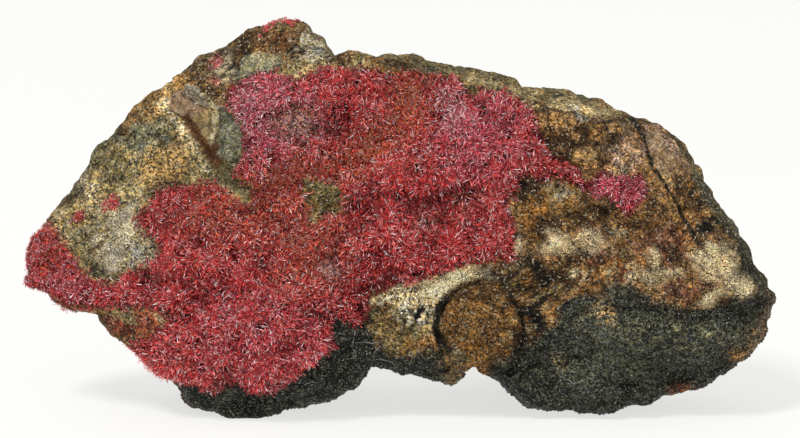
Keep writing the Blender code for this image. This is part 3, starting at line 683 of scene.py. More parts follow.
# broken plates with sharp edges: an edge, a colour, its strength, how grainy the plate is, and
# for those that are flakes of their own how far they stand proud, mm
plates = [
    ([(-34.0, 42.4), (-31.8, 43.1), (-30.7, 40.9), (-30.4, 40.0), (-32.5, 39.5), (-34.0, 38.8),
      (-35.8, 38.2), (-37.2, 36.9), (-38.7, 36.6), (-37.9, 38.8), (-35.4, 40.9)], "ochreTan", 0.75, 1.0),
    ([(-33.2, 45.6), (-31.8, 45.8), (-30.9, 44.9), (-30.0, 44.0), (-29.3, 42.9), (-28.4, 42.0),
      (-27.5, 41.5), (-26.6, 40.9), (-27.1, 40.0), (-26.2, 38.8), (-25.1, 37.9), (-26.0, 36.8),
      (-27.5, 37.1), (-28.9, 39.1), (-30.4, 41.3), (-31.8, 43.4)], "ledgeBrown", 0.95, 0.5),
    ([(-26.2, 38.8), (-25.3, 38.2), (-24.2, 36.0), (-23.0, 34.2), (-22.6, 32.6), (-23.9, 33.0),
      (-25.3, 34.8), (-26.6, 36.6), (-27.5, 37.5)], "olive", 0.95, 0.5),
    ([(-34.7, 47.1), (-34.0, 49.0), (-33.1, 49.2), (-32.2, 48.1), (-30.7, 47.4), (-29.6, 46.7),
      (-29.6, 45.6), (-30.9, 44.9), (-31.8, 45.8), (-33.2, 45.6), (-34.3, 46.3)], "pinkGrey", 0.85, 0.35),
    ([(-29.6, 46.7), (-28.4, 46.3), (-27.6, 45.3), (-27.4, 43.8), (-27.3, 42.4), (-27.5, 41.5),
      (-28.4, 42.0), (-29.3, 42.9), (-30.0, 44.0), (-30.9, 44.9), (-29.6, 45.6)], "plateTan", 0.9, 0.35),
    ([(-27.6, 46.7), (-26.4, 46.7), (-25.3, 45.6), (-24.2, 44.2), (-23.5, 42.7), (-23.2, 40.9),
      (-23.9, 39.1), (-25.3, 38.4), (-26.2, 38.8), (-27.1, 40.0), (-26.7, 40.9), (-27.2, 42.0),
      (-27.4, 44.5)], "slate", 0.95, 0.7, 0.14),
    ([(-31.8, 50.1), (-30.7, 50.0), (-29.6, 48.9), (-28.4, 48.1), (-27.6, 47.4), (-27.8, 46.5),
      (-29.1, 46.7), (-30.4, 47.2), (-31.6, 48.1), (-32.5, 49.0)], "lilacGrey", 0.9, 0.6, 0.22),
    ([(-23.9, 53.9), (-22.0, 54.8), (-19.9, 54.8), (-17.7, 54.6), (-18.1, 52.8), (-18.4, 52.1),
      (-20.8, 51.9), (-22.6, 51.4), (-23.9, 51.0), (-24.0, 52.5)], "greenGrey", 0.85, 0.7, 0.24),
    ([(-34.0, 51.0), (-32.5, 51.6), (-31.1, 51.0), (-31.6, 50.1), (-33.2, 49.6), (-34.0, 50.0)],
     "ochre", 0.8, 1.0, 0.45),
    ([(-32.4, 52.3), (-30.7, 53.6), (-28.0, 55.2), (-24.6, 57.2), (-21.7, 58.6), (-17.4, 58.6),
      (-18.1, 55.9), (-19.5, 55.4), (-21.2, 55.9), (-22.9, 54.6), (-24.2, 54.6), (-26.0, 54.8),
      (-27.6, 54.1), (-28.9, 52.8), (-29.6, 52.1), (-28.9, 50.3), (-26.7, 48.5), (-27.6, 47.6),
      (-29.3, 48.7), (-31.1, 50.5), (-31.8, 51.4)], "darkBrown", 0.6, 1.3),
    ([(-4.6, 17.9), (-2.8, 19.2), (-0.5, 20.1), (2.1, 20.7), (4.2, 21.4), (6.6, 22.1), (8.9, 23.0),
      (11.5, 23.3), (12.4, 22.3), (13.5, 21.2), (12.2, 19.7), (10.2, 20.7), (8.2, 19.7), (6.8, 19.0),
      (5.1, 17.2), (3.7, 15.4), (1.9, 14.5), (0.3, 15.4), (-0.5, 16.9), (-2.1, 17.9), (-3.4, 17.6)],
     "druseGrey", 0.8, 1.2),
    ([(36.3, 43.1), (38.3, 43.1), (39.7, 40.6), (40.8, 39.3), (40.6, 37.5), (39.9, 36.3), (38.3, 37.4),
      (37.4, 39.3)], "lilacBrown", 0.8, 0.6),
    ([(44.4, 28.7), (45.5, 29.9), (46.9, 30.5), (47.3, 29.4), (46.4, 28.0), (44.8, 27.6)],
     "black", 0.9, 1.0),
    ([(43.5, 24.5), (45.0, 25.6), (47.3, 26.7), (49.3, 26.9), (50.4, 25.4), (51.1, 23.8), (52.0, 20.2),
      (49.8, 18.6), (46.6, 18.4), (47.6, 20.2), (46.2, 21.6), (44.4, 22.6)], "cream", 0.45, 1.2),
    ([(21.4, 27.4), (22.9, 28.7), (25.2, 27.9), (27.6, 28.1), (29.9, 27.4), (29.2, 25.6), (26.8, 24.6),
      (24.4, 24.8), (22.0, 25.4)], "cream", 0.35, 1.2),
    ([(21.4, 47.6), (26.0, 48.6), (33.0, 46.0), (29.2, 45.2), (27.0, 46.0), (23.0, 46.8)],
     "paleTan", 0.45, 0.8),
]

# cracks, ledges and edges: a run of points, a half width, a colour and its strength
streaks = [
    ([(34.3, 44.8), (35.9, 43.0), (36.8, 40.1), (37.7, 37.5), (39.4, 35.4), (41.2, 31.9), (43.1, 28.7),
      (44.4, 26.7)], 0.36, "black", 1.0),
    ([(6.6, 18.6), (5.5, 16.4), (5.2, 14.2), (5.8, 11.8), (7.2, 10.4)], 0.6, "black", 0.95),
    ([(7.2, 19.4), (9.4, 20.8)], 0.3, "darkBrown", 0.8),
    ([(13.6, 22.4), (15.4, 20.2), (17.3, 17.2), (18.3, 14.4), (18.2, 12.0), (16.6, 9.8)],
     0.55, "black", 0.95),
    ([(-21.7, 39.6), (-22.4, 37.2), (-22.0, 33.6)], 0.35, "black", 0.8),
    ([(-31.9, 45.2), (-30.4, 43.0), (-29.0, 40.6), (-27.4, 38.6)], 0.26, "darkBrown", 0.7),
    ([(-35.8, 47.2), (-33.6, 45.0), (-32.2, 42.6), (-30.6, 40.2), (-28.8, 37.4)], 0.42, "paleTan", 0.9),
    ([(-29.4, 48.6), (-27.6, 46.4), (-27.4, 44.2), (-28.0, 41.8)], 0.4, "paleTan", 0.9),
    ([(-28.6, 48.9), (-26.9, 46.2), (-26.8, 44.0), (-27.4, 41.4)], 0.3, "darkBrown", 0.6),
    ([(20.0, 47.2), (23.1, 46.3), (27.0, 45.3), (29.1, 44.5), (33.4, 45.0)], 0.32, "darkBrown", 0.9),
    ([(44.0, 36.5), (46.0, 32.5), (48.2, 29.6), (50.0, 27.4), (51.2, 25.3), (52.5, 22.5), (54.0, 19.6)],
     0.7, "darkOlive", 0.85),
    ([(26.0, 46.2), (27.6, 44.6)], 0.22, "whitish", 0.9),
]

# the black granular rock at the foot of the piece lies below this line
blackLine = [
    (-60.0, 8.0), (-44.0, 11.0), (-38.0, 8.0), (-34.0, 5.2), (-30.0, 4.6), (-24.0, 6.6), (-18.0, 6.6),
    (-14.0, 9.4), (-12.0, 13.0), (-10.0, 17.0), (-6.0, 14.6), (-5.0, 12.8), (-4.2, 10.8),
    (-2.0, 9.9), (2.0, 9.6), (5.6, 11.0),
    (6.6, 9.0), (12.0, 6.4), (14.0, 8.6), (17.4, 10.2), (20.6, 11.6), (22.6, 14.6), (24.4, 18.4),
    (27.0, 19.2), (30.8, 20.1), (34.6, 19.7), (36.4, 18.0), (41.1, 16.8), (45.0, 17.0), (48.9, 18.0),
    (53.0, 19.3), (60.0, 19.6),
]

# small marks on the black rock: middle, half sizes, turn, colour, gain, cap, and the share that is
# even and the share that is broken into specks
footMarks = [
    ((41.0, 12.6), (9.0, 1.7), -3, "yellowGreen", 1.6, 1.0, 0.0, 0.9),
    ((31.0, 13.4), (5.0, 3.4), -35, "yellowGreen", 1.3, 1.0, 0.0, 0.7),
    ((23.6, 9.0), (0.8, 1.6), 15, "paleTan", 1.3, 1.3, 0.0, 1.0),
    ((30.2, 16.2), (1.7, 2.0), 0, "ochre", 1.2, 1.2, 0.0, 1.0),
    ((32.0, 11.0), (6.5, 4.0), 0, "greenBlack", 0.7, 1.0, 0.0, 1.0),
    ((7.9, 7.6), (1.7, 2.3), 0, "ochre", 1.8, 1.0, 0.4, 0.5),
    ((42.2, 4.5), (1.6, 0.8), 5, "rust", 1.5, 1.5, 1.0, 0.0),
    ((50.0, 9.8), (0.9, 0.6), 30, "orange", 1.3, 1.3, 1.0, 0.0),
    ((54.4, 13.4), (1.5, 4.4), -30, "brown", 1.4, 1.4, 1.0, 0.0),
]
# painted light on the black rock: where light falls on it, and how much
footLit = [
    ((31.0, 11.5), (8.0, 7.0), -20, 1.0), ((46.0, 12.0), (7.0, 3.4), 20, 0.8),
    ((26.0, 6.0), (5.0, 4.0), 30, 0.5),
]
# where light and dark crumbs are mixed, and where black and cream pepper is
crumbBand = [((30.0, 22.6), (10.0, 2.6), -4), ((20.5, 12.6), (2.0, 6.0), 0)]
pepperSpots = [
    ((-25.8, 52.4), (1.0, 2.0), -15), ((2.4, 15.6), (2.6, 1.3), 30), ((45.7, 29.2), (1.6, 1.1), 32),
]


def overLine(x, h):
    # how far a point lies below the black rock's upper line
    lineX, lineH = np.array(blackLine).T
    return np.interp(x, lineX, lineH) - h


# the last changes to the rock's colours
cast = {
    "middle": 0.13,                  # light that the raised contrast leaves as it is
    "contrast": 0.28,
    "warmFleck": (0.06, 0.0, -0.12),
    "overall": (1.09, 1.02, 0.89),
}


def rockColours(places, relief):
    # a colour for each point of the rock, from its place in the picture plane, with ragged patch edges, and
    # painted shade and light from the relief
    x, h, depth = places.T

    def noises(cell, seed, finer, finerSeed, share):
        # a noise and a share of a finer one
        return noise(places, cell, seed) + share * noise(places, finer, finerSeed)

    warpX = x + 0.8 * noise(places, 3.1, 501) + 0.5 * noise(places, 1.3, 503)
    warpH = h + 0.8 * noise(places, 3.1, 507) + 0.5 * noise(places, 1.3, 509)
    ragged = 0.40 * noise(places, 1.1, 527) + 0.42 * noise(places, 0.55, 529)
    colours = np.tile(tone(*stone["brown"]), (len(x), 1))

    def lay(mask, name):
        nonlocal colours
        mask = np.clip(mask, 0.0, 1.0)[:, None]
        colours = colours * (1.0 - mask) + np.array(tone(*stone[name])) * mask

    mottle = noises(5.0, 521, 2.2, 523, 0.6)
    lay(smoothStep(0.1, 0.9, mottle), "olive")
    lay(smoothStep(0.2, 1.0, -mottle), "darkBrown")
    grain = np.zeros(len(x))
    for (px, ph), (rx, rh), turn, name, strength in patches:
        c, s = math.cos(math.radians(turn)), math.sin(math.radians(turn))
        along = ((warpX - px) * c + (warpH - ph) * s) / rx
        across = ((warpH - ph) * c - (warpX - px) * s) / rh
        mask = (1.0 - smoothStep(0.72, 1.16, np.hypot(along, across) + ragged)) * strength
        lay(mask, name)
        grain = np.maximum(grain * (1.0 - mask), mask * (name in ("cream", "whitish")))
    rough = np.ones(len(x))
    for edge, name, strength, grainy, *_ in plates:
        within = smoothStep(-0.1, 0.1, edgeDepth(x + 0.12 * ragged, h + 0.12 * ragged, edge))
        lay(within * strength, name)
        rough += within * (grainy - rough)
    body = smoothStep(-0.3, 0.3, edgeDepth(x + 0.5 * ragged, h + 0.5 * ragged, clastEdge))
    lay(body, "clastBrown")
    lay(body * smoothStep(-0.1, 0.7, noise(places, 1.6, 541)) * 0.6, "orange")
    lay(body * smoothStep(0.0, 0.8, noise(places, 2.4, 543)) * 0.6, "darkBrown")
    grain *= 1.0 - body
    # crisp dark mottles and lighter ones, most of all on the brown right side
    onRight = smoothStep(10.0, 20.0, x)
    spotty = noises(1.7, 551, 0.8, 553, 0.7)
    lay(smoothStep(0.28, 0.5, spotty) * (0.18 + 0.45 * onRight) * (1.0 - grain) * rough, "darkBrown")
    lay(smoothStep(0.34, 0.6, -spotty) * (0.10 + 0.30 * onRight) * (1.0 - grain) * rough, "ochre")
    # crumbs along a band and in a column beside the clast, and pepper in three places
    crumbs = noises(1.0, 559, 0.5, 561, 0.9)
    band = softShare(x, h, crumbBand, 1.5) * (1.0 - body) * 0.7
    lay(band * smoothStep(0.35, 0.6, crumbs), "paleTan")
    lay(band * smoothStep(0.35, 0.6, -crumbs), "darkBrown")
    column = np.clip(1.4 * mound(x, h, (19.6, 17.6), (3.6, 7.0)) * (1.0 - body), 0.0, 1.0)
    lay(column * smoothStep(0.05, 0.35, noises(1.5, 555, 0.8, 557, 0.6)), "black")
    coarse = softShare(x, h, pepperSpots, 1.6)
    pepper = noise(places, 0.55, 571)
    lay(coarse * smoothStep(0.05, 0.3, pepper), "black")
    lay(coarse * smoothStep(0.2, 0.5, -pepper) * 0.7, "cream")
    # light patches lighter and dark ones darker
    colours *= ((colours.mean(axis=1) / cast["middle"]) ** cast["contrast"])[:, None]
    # warm flecks and grey ones, a millimetre wide and less
    fleck = noises(0.9, 531, 0.45, 533, 0.8) * rough * (0.17 + 0.20 * onRight)
    warm = noises(1.8, 537, 0.7, 539, 0.5)[:, None] * cast["warmFleck"]
    colours = colours * np.exp(fleck[:, None] + warm) * cast["overall"]
    for run, width, name, strength in streaks:
        away = runDistance(x + 0.45 * ragged, h + 0.45 * ragged, run) / width
        lay((1.0 - smoothStep(0.6, 1.3, away)) * strength, name)
    # the black rock, with painted light where light falls on it from above, a painted shadow along a groove,
    # and small marks
    black = smoothStep(-0.7, 0.7, overLine(warpX, warpH) + 0.8 * ragged)
    lay(black, "black")
    lit = sum(gain * mound(x, h, *place) for *place, gain in footLit)
    # painted light: the lit patches take a lighter grey
    lay(black * np.clip(lit, 0.0, 1.0) * (0.75 + 0.35 * noise(places, 1.2, 545)), "litFootGrey")
    # painted shadow: the groove over the right foot darkened to black
    lay(black * ridge(h - 16.4 + 0.12 * (x - 38.0), 1.0) * smoothStep(29.0, 33.0, x) * 0.9, "black")
    speckled = smoothStep(0.0, 0.3, noises(1.1, 547, 0.5, 549, 1.0))
    for place, radii, turn, name, gain, cap, even, specks in footMarks:
        mark = np.minimum(gain * mound(x, h, place, radii, turn), cap)
        lay(black * mark * (even + specks * speckled), name)
    # the back, with feet of its own
    onBack = smoothStep(9.0, 15.0, depth)
    backTone = noises(9.0, 561, 3.0, 563, 0.5)
    backFoot = onBack * smoothStep(0.0, 5.0, 13.0 + 4.0 * backTone - h)
    lay(onBack * 0.9, "brown")
    lay(onBack * smoothStep(-0.2, 0.8, backTone), "olive")
    lay(onBack * smoothStep(0.2, 1.0, -backTone) * 0.9, "darkBrown")
    lay(onBack * smoothStep(0.3, 0.9, noise(places, 4.0, 567)) * 0.7, "tan")
    lay(backFoot, "black")
    # painted shade and light: the colour darker where the relief is sunk and lighter where chips stand proud
    colours *= np.clip(1.0 + 0.9 * relief[:, None], 0.3, 1.5)
    black = np.maximum(black * (1.0 - onBack), backFoot)
    grain = np.clip(grain * (1.0 - onBack) * (1.0 - black), 0.0, 1.0)
    return np.clip(colours, 0.0, 1.0), np.column_stack([grain, black, rough])


# grains of the rock: texture scales, and the colours that single grains and clumps of them lean to
grit = {
    "grains": 3900.0,
    "clumps": 2400.0,
    "fine": 5200.0,
    "mottle": 800.0,
    "plates": 330.0,
    "bend": 500.0,
    "bendReach": 0.0016,          # metres that the cracks wander
    "bumpDepth": 0.0002,
    "coolClump": (0.90, 1.01, 1.34),
    "warmClump": (1.12, 0.99, 0.64),
    "paleGrain": (208, 196, 164),
    "paleOnBlack": (118, 118, 98),
    "darkGrainPitShade": (36, 32, 26),
}


def rockMaterial():
    # the painted colour, broken up by grains a few tenths of a millimetre wide, pale specks, and dark specks
    # that are partly dark grains and partly painted shade in pits
    material, tree = newMaterial("veinRock")

    def line(value, gain, offset):
        # value * gain + offset
        return calc(tree, "MULTIPLY_ADD", value, gain, offset)

    def product(first, *others):
        for other in others:
            first = calc(tree, "MULTIPLY", first, other)
        return first

    def most(first, second):
        return calc(tree, "MAXIMUM", first, second)

    def least(first, second):
        return calc(tree, "MINIMUM", first, second)

    masks = channels(tree, attribute(tree, "rockMask"))
    druse, black, grainy = masks["Red"], masks["Green"], masks["Blue"]
    grains = texture(tree, "Voronoi", grit["grains"])
    dice = channels(tree, grains["Color"])
    clumpDice = channels(tree, texture(tree, "Voronoi", grit["clumps"])["Color"])
    fine = texture(tree, "Noise", grit["fine"], Detail=2.0, Roughness=0.7)["Fac"]
    mottle = texture(tree, "Noise", grit["mottle"], Detail=3.0, Roughness=0.65)["Fac"]
    shade = product(line(fine, 2.8, -0.35), line(mottle, 0.9, 0.55), line(dice["Red"], 1.8, 0.12),
                    line(clumpDice["Red"], 0.9, 0.55))
    # strongest on grainy plates and on the black rock
    shade = line(calc(tree, "SUBTRACT", shade, 1.0), grainy, 1.0)
    shade = line(calc(tree, "SUBTRACT", shade, 1.0), line(black, 0.9, 1.0), 0.96)
    # thin cracks round plates two to four millimetres wide, each a little lighter or darker
    place = addNode(tree, "TexCoord").outputs["Object"]
    bent = addNode(tree, "VectorMath", operation="MULTIPLY_ADD")
    feed(tree, bent.inputs[0], texture(tree, "Noise", grit["bend"], Detail=2.0)["Color"])
    feed(tree, bent.inputs[1], [grit["bendReach"]] * 3)
    feed(tree, bent.inputs[2], place)
    bent = bent.outputs["Vector"]
    plateDice = channels(tree, texture(tree, "Voronoi", grit["plates"], Vector=bent)["Color"])
    crack = texture(tree, "Voronoi", grit["plates"], Vector=bent, feature="DISTANCE_TO_EDGE")["Distance"]
    unbroken = least(most(least(line(crack, 14.0, 0.35), 1.0), line(mottle, 5.0, -1.9)), 1.0)
    shade = product(most(shade, 0.15), line(plateDice["Red"], 0.36, 0.82), unbroken)
    warmth = mix(tree, clumpDice["Green"], grit["coolClump"], grit["warmClump"])
    warmth = mix(tree, grainy, (1.0, 1.0, 1.0), warmth)
    colour = mix(tree, 1.0, times(tree, attribute(tree, "rockTint"), shade), warmth, "MULTIPLY")
    # a few grains in a hundred are pale, and more of them dark, most of all in the druse; the dark ones are
    # partly dark grains and partly painted shade in pits
    pale = most(line(dice["Green"], 8.0, -7.1), product(line(dice["Green"], 4.0, -2.9), black))
    pale = product(most(pale, 0.0), line(black, 0.2, 0.6), grainy)
    colour = mix(tree, pale, colour, mix(tree, black, tone(*grit["paleGrain"]), tone(*grit["paleOnBlack"])))
    dark = product(most(line(dice["Blue"], 4.0, -3.0), 0.0), line(druse, 0.4, 0.5), grainy)
    height = line(unbroken, 0.6, line(fine, 0.9, grains["Distance"]))
    bump = addNode(tree, "Bump", Strength=1.0, Distance=grit["bumpDepth"], Height=height)
    finish(tree, {
        "Base Color": mix(tree, dark, colour, tone(*grit["darkGrainPitShade"])),
        "Roughness": line(black, -0.36, 0.8),
        "Specular IOR Level": 0.18,
        "Normal": bump.outputs["Normal"],
    })
    return material


def rockRelief(points, places, radius):
    # chips of three sizes, larger ones towards the rim, and coarse grains on the black rock and the column
    x, h, depth = places.T
    granular = smoothStep(-1.0, 1.0, overLine(x, h)) + mound(x, h, (17.0, 16.0), (7.0, 8.0))
    relief = chipLayers(points, [(2.8, 601, 0.75), (1.3, 603, 0.60)])
    relief += 0.45 * chips(points, 5.5, 607) * smoothStep(0.72, 0.86, radius)
    relief += bumps(points, [(0.7, 0.07)], 605)
    coarse = 0.7 * chips(points, 1.0, 611) + 0.08 * noise(points, 0.5, 613)
    return relief + np.clip(granular, 0.0, 1.0) * coarse


def onRockFace(flat):
    # spots (x, h) of the picture plane laid on the face: their places, the same stood up, and the relief
    fromCentre = flat - rock["centre"]
    reach = np.hypot(*fromCentre.T) / outlineReach(np.arctan2(fromCentre[:, 1], fromCentre[:, 0]))
    places = np.column_stack([flat, faceDepth(*flat.T, reach)])
    points = stoodUp(places)
    return places, points, rockRelief(points, places, reach * (1.0 - rock["wallShare"]))


def closedRock():
    # two bent grids, face and back, that share their rim, then chips and grains raised along the normals
    angle, radius, a, b = discGrid(rock["columns"], rock["rows"])
    count = len(angle)
    onBack = np.repeat([False, True], count)
    places = rockSurface(np.tile(angle, 2), np.tile(radius, 2), onBack)
    front = np.arange(count).reshape(rock["rows"], rock["columns"])
    back = front + count
    rim = np.ones(front.shape, bool)
    rim[1:-1, 1:-1] = False
    back[rim] = front[rim]

    def quads(index, order):
        # the four corners of every cell of a grid, the other way round where order is -1
        corners = [index[:-1, :-1], index[:-1, 1:], index[1:, 1:], index[1:, :-1]]
        return np.column_stack([c.ravel() for c in corners[::order]])

    used, faces = np.unique(np.concatenate([quads(front, 1), quads(back, -1)]), return_inverse=True)
    faces = faces.reshape(-1, 4)
    places = places[used]
    points = stoodUp(places)
    relief = rockRelief(points, places, np.tile(radius, 2)[used])
    points = points + cornerNormals(points, faces) * relief[:, None]
    points[:, 2] = np.maximum(points[:, 2], 0.0)
    # the face takes the upper half of the UV square and the back the lower half
    grid = np.column_stack([np.tile(a, 2), np.tile(b, 2)])[used]
    unwrapped = grid[faces] * (0.49, 0.24) + (0.5, 0.75)
    unwrapped[len(faces) // 2 :, :, 1] -= 0.5
    return {"places": places, "points": points, "faces": faces, "outward": cornerNormals(points, faces),
            "relief": relief, "onBack": onBack[used], "unwrapped": unwrapped.reshape(-1, 2)}


def scatterOn(skin, weight, count, random):
    # random spots on the skin: a face is picked by its area times its weight, then a spot on it
    corners = [skin["points"][skin["faces"][:, i]] for i in range(4)]
    area = np.linalg.norm(np.cross(corners[2] - corners[0], corners[3] - corners[1]), axis=1)
    chance = np.cumsum(area * weight[skin["faces"]].mean(axis=1))
    picked = np.searchsorted(chance, random.random(count) * chance[-1])
    u, v = random.random((2, count))
    shares = np.column_stack([(1 - u) * (1 - v), u * (1 - v), u * v, (1 - u) * v])[:, :, None]
    rows = skin["faces"][picked]
    spots = {key: (skin[key][rows] * shares).sum(axis=1) for key in ("points", "places", "outward", "tint")}
    spots["outward"] = unit(spots["outward"])
    return spots


def asRock(piece, colours, masks):
    # a piece of the rock: painted, settled, and shown in the solid's place
    paint(piece, "rockTint", colours)
    paint(piece, "rockMask", masks)
    settle(piece)
    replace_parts(piece, "matrix_rock")


def blended(first, second, share):
    # colours from the first to the second, by a share for each point
    return first * (1.0 - share[:, None]) + np.array(second) * share[:, None]


print("shaping the rock")
bedTones = {"deep": (78, 14, 20), "worn": (150, 104, 96), "felt": (150, 56, 46)}
skin = closedRock()
x, h, depth = skin["places"].T
skin["tint"], rockMasks = rockColours(skin["places"], np.clip(skin["relief"], -0.9, 0.7))
grainMask, blackMask = rockMasks[:, :2].T
onFace = (1.0 - smoothStep(10.0, 12.0, depth)) * ~skin["onBack"]
matDepth = np.minimum(edgeDepth(x, h, crust["edge"]), -edgeDepth(x, h, crust["window"]) - 0.5)
matDepth = np.where(onFace > 0.5, matDepth, -9.0)
# under the needles the rock takes a deep crimson, paler where they are worn or short
worn = softShare(x, h, matWorn)
bedTone = blended(np.array([tone(*bedTones["deep"])]), tone(*bedTones["worn"]), worn)
bedTone = blended(bedTone, tone(*bedTones["felt"]), softShare(x, h, matVelvet) * (1.0 - worn))
bedTone = bedTone * np.exp(0.5 * noise(skin["places"], 0.6, 705))[:, None]
bed = smoothStep(-0.2, 0.9, matDepth + 0.5 * noise(skin["places"], 0.9, 701))
rockFinish = rockMaterial()
rockPiece = makeMesh("vein_rock", skin["points"] * mm, skin["faces"], rockFinish, skin["unwrapped"])
asRock(rockPiece, blended(skin["tint"] * (1.0 - 0.62 * grainMask[:, None]), bedTone, bed), rockMasks)


# flakes: plates of the broken rock and the brown inclusion, which stand proud with sharp edges

flake = {
    "around": 200,           # points round each edge
    "rings": 22,
    "wander": 0.10,          # mm that an edge strays from its line
    "brink": 0.955,          # share of the radius at which the side starts to fall
    "sunk": 0.40,            # mm that the rim lies below the rock's skin
    "keel": 1.2,             # mm that the underside's middle lies below it
    "slab": [
        (-34.7, 47.1), (-34.0, 49.0), (-33.1, 49.2), (-32.2, 48.1), (-30.7, 47.4), (-29.6, 46.7),
        (-28.4, 46.3), (-27.6, 45.3), (-27.4, 43.8), (-27.3, 42.4), (-27.5, 41.5), (-28.4, 42.0),
        (-29.3, 42.9), (-30.0, 44.0), (-30.9, 44.9), (-31.8, 45.8), (-33.2, 45.6), (-34.3, 46.3),
    ],
    "slabProud": 0.42,       # mm that a plate stands proud
    "clastProud": 0.30,
}


def growFlake(edge, raised, seed):
    # rings shrunk from the edge to its middle, laid on the rock's face, raised, and closed below by a fan
    around, rings, brink = flake["around"], flake["rings"], flake["brink"]
    corners = np.array(edge + edge[:1])
    steps = np.hypot(*np.diff(corners, axis=0).T)
    along = np.linspace(0.0, steps.sum(), around, endpoint=False)
    lengths = np.concatenate([[0.0], np.cumsum(steps)])
    rim = np.column_stack([np.interp(along, lengths, corners[:, i]) for i in range(2)])
    middle = rim.mean(axis=0)
    spokes = rim - middle
    if np.linalg.det(np.stack([spokes, np.roll(spokes, -1, axis=0)], axis=1)).sum() < 0:
        spokes = spokes[::-1]
    flat = np.column_stack([spokes + middle, np.full(around, 7.0 * seed)])
    wander = flake["wander"] * (noise(flat, 0.9, 641) + 0.7 * noise(flat, 0.4, 643))
    spokes = spokes * (1.0 + wander / np.hypot(*spokes.T))[:, None]
    share = np.linspace(1.0 / rings, 1.0, rings) ** 0.7
    share[-3:] = brink, 0.5 + 0.5 * brink, 1.0
    grid = (share[:, None, None] * spokes).reshape(-1, 2)
    grid = np.concatenate([grid, np.zeros((2, 2))]) + middle
    top, keel = rings * around, rings * around + 1
    here = np.arange(around)
    after = np.roll(here, -1)
    start = (np.arange(rings - 1) * around)[:, None]
    a, b, c, d = ((start + corner).ravel() for corner in (here, around + here, around + after, after))
    last = top - around
    faces = np.concatenate([
        np.column_stack([np.full(around, top), here, after]),
        np.column_stack([a, b, c]),
        np.column_stack([a, c, d]),
        np.column_stack([np.full(around, keel), last + after, last + here]),
    ])
    places, points, relief = onRockFace(grid)
    outward = cornerNormals(points, faces[:-around][:, [0, 1, 2, 2]])
    outward[keel] = outward[top]
    out = np.concatenate([np.repeat(share, around), [0.0, 0.0]])
    profile = raised - (raised + flake["sunk"]) * smoothStep(brink, 1.0, out)
    profile[keel] = -flake["keel"]
    profile += 0.25 * chips(points, 0.9, 645) * (out < brink)
    points = points + outward * (relief + profile)[:, None]
    unwrapped = 0.1 + 0.8 * (grid - grid.min(axis=0)) / np.ptp(grid, axis=0).max()
    return places, points, faces, np.clip(relief, -0.9, 0.7), unwrapped


def growFlakes():
    # all flakes as one piece: each has a cell of the UV square, and the undersides share the ninth
    proud = [(flake["slab"], flake["slabProud"])]
    proud += [(edge, raised[0]) for edge, _, _, _, *raised in plates if raised]
    proud += [(clastEdge, flake["clastProud"])]
    grown, start = [], 0
    for i, (edge, raised) in enumerate(proud):
        places, points, faces, relief, unwrapped = growFlake(edge, raised, i)
        cell = np.array([i % 3, i // 3])
        corners = unwrapped[faces] + cell
        under = len(faces) - flake["around"]
        corners[under:] = unwrapped[faces[under:]] * 0.3 + 2.0 + 0.33 * cell
        grown.append((places, points, faces + start, relief, corners.reshape(-1, 2) / 3.0))
        start += len(points)
    places, points, faces, relief, unwrapped = (np.concatenate(parts) for parts in zip(*grown))
    piece = makeMesh("rock_flakes", points * mm, faces, rockFinish, unwrapped)
    asRock(piece, *rockColours(places, relief))


growFlakes()


# the needles: slender blades and finer spikes that stand and lie in sprays on the bed

needle = {
    "baseSprays": 4200,         # low ones that make the felt
    "baseSize": (0.50, 0.90),   # length at the mat's edge and well inside
    "tallSprays": 2100,         # bursts that stand out of it
    "tallSize": (0.65, 1.40),
    "crimson": (242, 80, 76),
    "raspberry": (232, 102, 116),
    "pink": (246, 184, 184),
    "orange": (222, 100, 64),
    "deep": (132, 18, 30),
    "worn": (184, 112, 94),
    # colours found all over the mat: share of needles that lean to it, and how far
    "anywhere": [("pink", 0.21, 0.6), ("deep", 0.34, 0.85)],
    "tallShade": 1.15,          # tall sprays and the velvet are a little brighter
    "velvetShade": 0.5,
}

# a needle's corners are (share of its length, half widths out, turn round it), each with a brightness that
# paints shade at the root and light towards the tip, and a spot in the needle's cell of the UV square
needleForms = {
    "blade": {
        "pieces": 2,
        "perPiece": 31000,
        "width": (0.07, 0.15),
        "loose": 0.32,          # share of needles that don't point away from their spray's centre
        # painted highlights: the glint share of needles are pale, standing for glints
        "glint": 0.10,          # share of pale needles
        "crowding": 2.0,        # power of a spray's size that its number of needles goes with
        "footing": 0.26,        # share of a spray's size that its needles' feet are spread over
        "corners": [(0.0, 0.0, 0.0), (0.78, 1.0, 0.0), (0.78, 1.0, 2.1), (0.78, 1.0, -2.1), (1.0, 0.0, 0.0)],
        "faces": [(0, 2, 1), (0, 3, 2), (0, 1, 3), (1, 2, 4), (2, 3, 4), (3, 1, 4)],
        "rootShadeTipLight": [0.12, 1.3, 1.3, 1.3, 1.8],
        "cell": [(0.5, 0.1), (0.1, 0.6), (0.5, 0.6), (0.9, 0.6), (0.5, 0.9)],
    },
    "spike": {
        "pieces": 2,
        "perPiece": 47000,
        "width": (0.09, 0.16),
        "loose": 0.60,
        "glint": 0.02,
        "crowding": 0.7,
        "footing": 0.42,
        "corners": [(0.0, 1.0, 0.0), (0.0, 1.0, 2.1), (0.0, 1.0, -2.1), (1.0, 0.0, 0.0)],
        "faces": [(0, 1, 3), (1, 2, 3), (2, 0, 3), (0, 2, 1)],
        "rootShadeTipLight": [0.18, 0.18, 0.18, 1.8],
        "cell": [(0.1, 0.1), (0.5, 0.1), (0.9, 0.1), (0.5, 0.9)],
    },
}

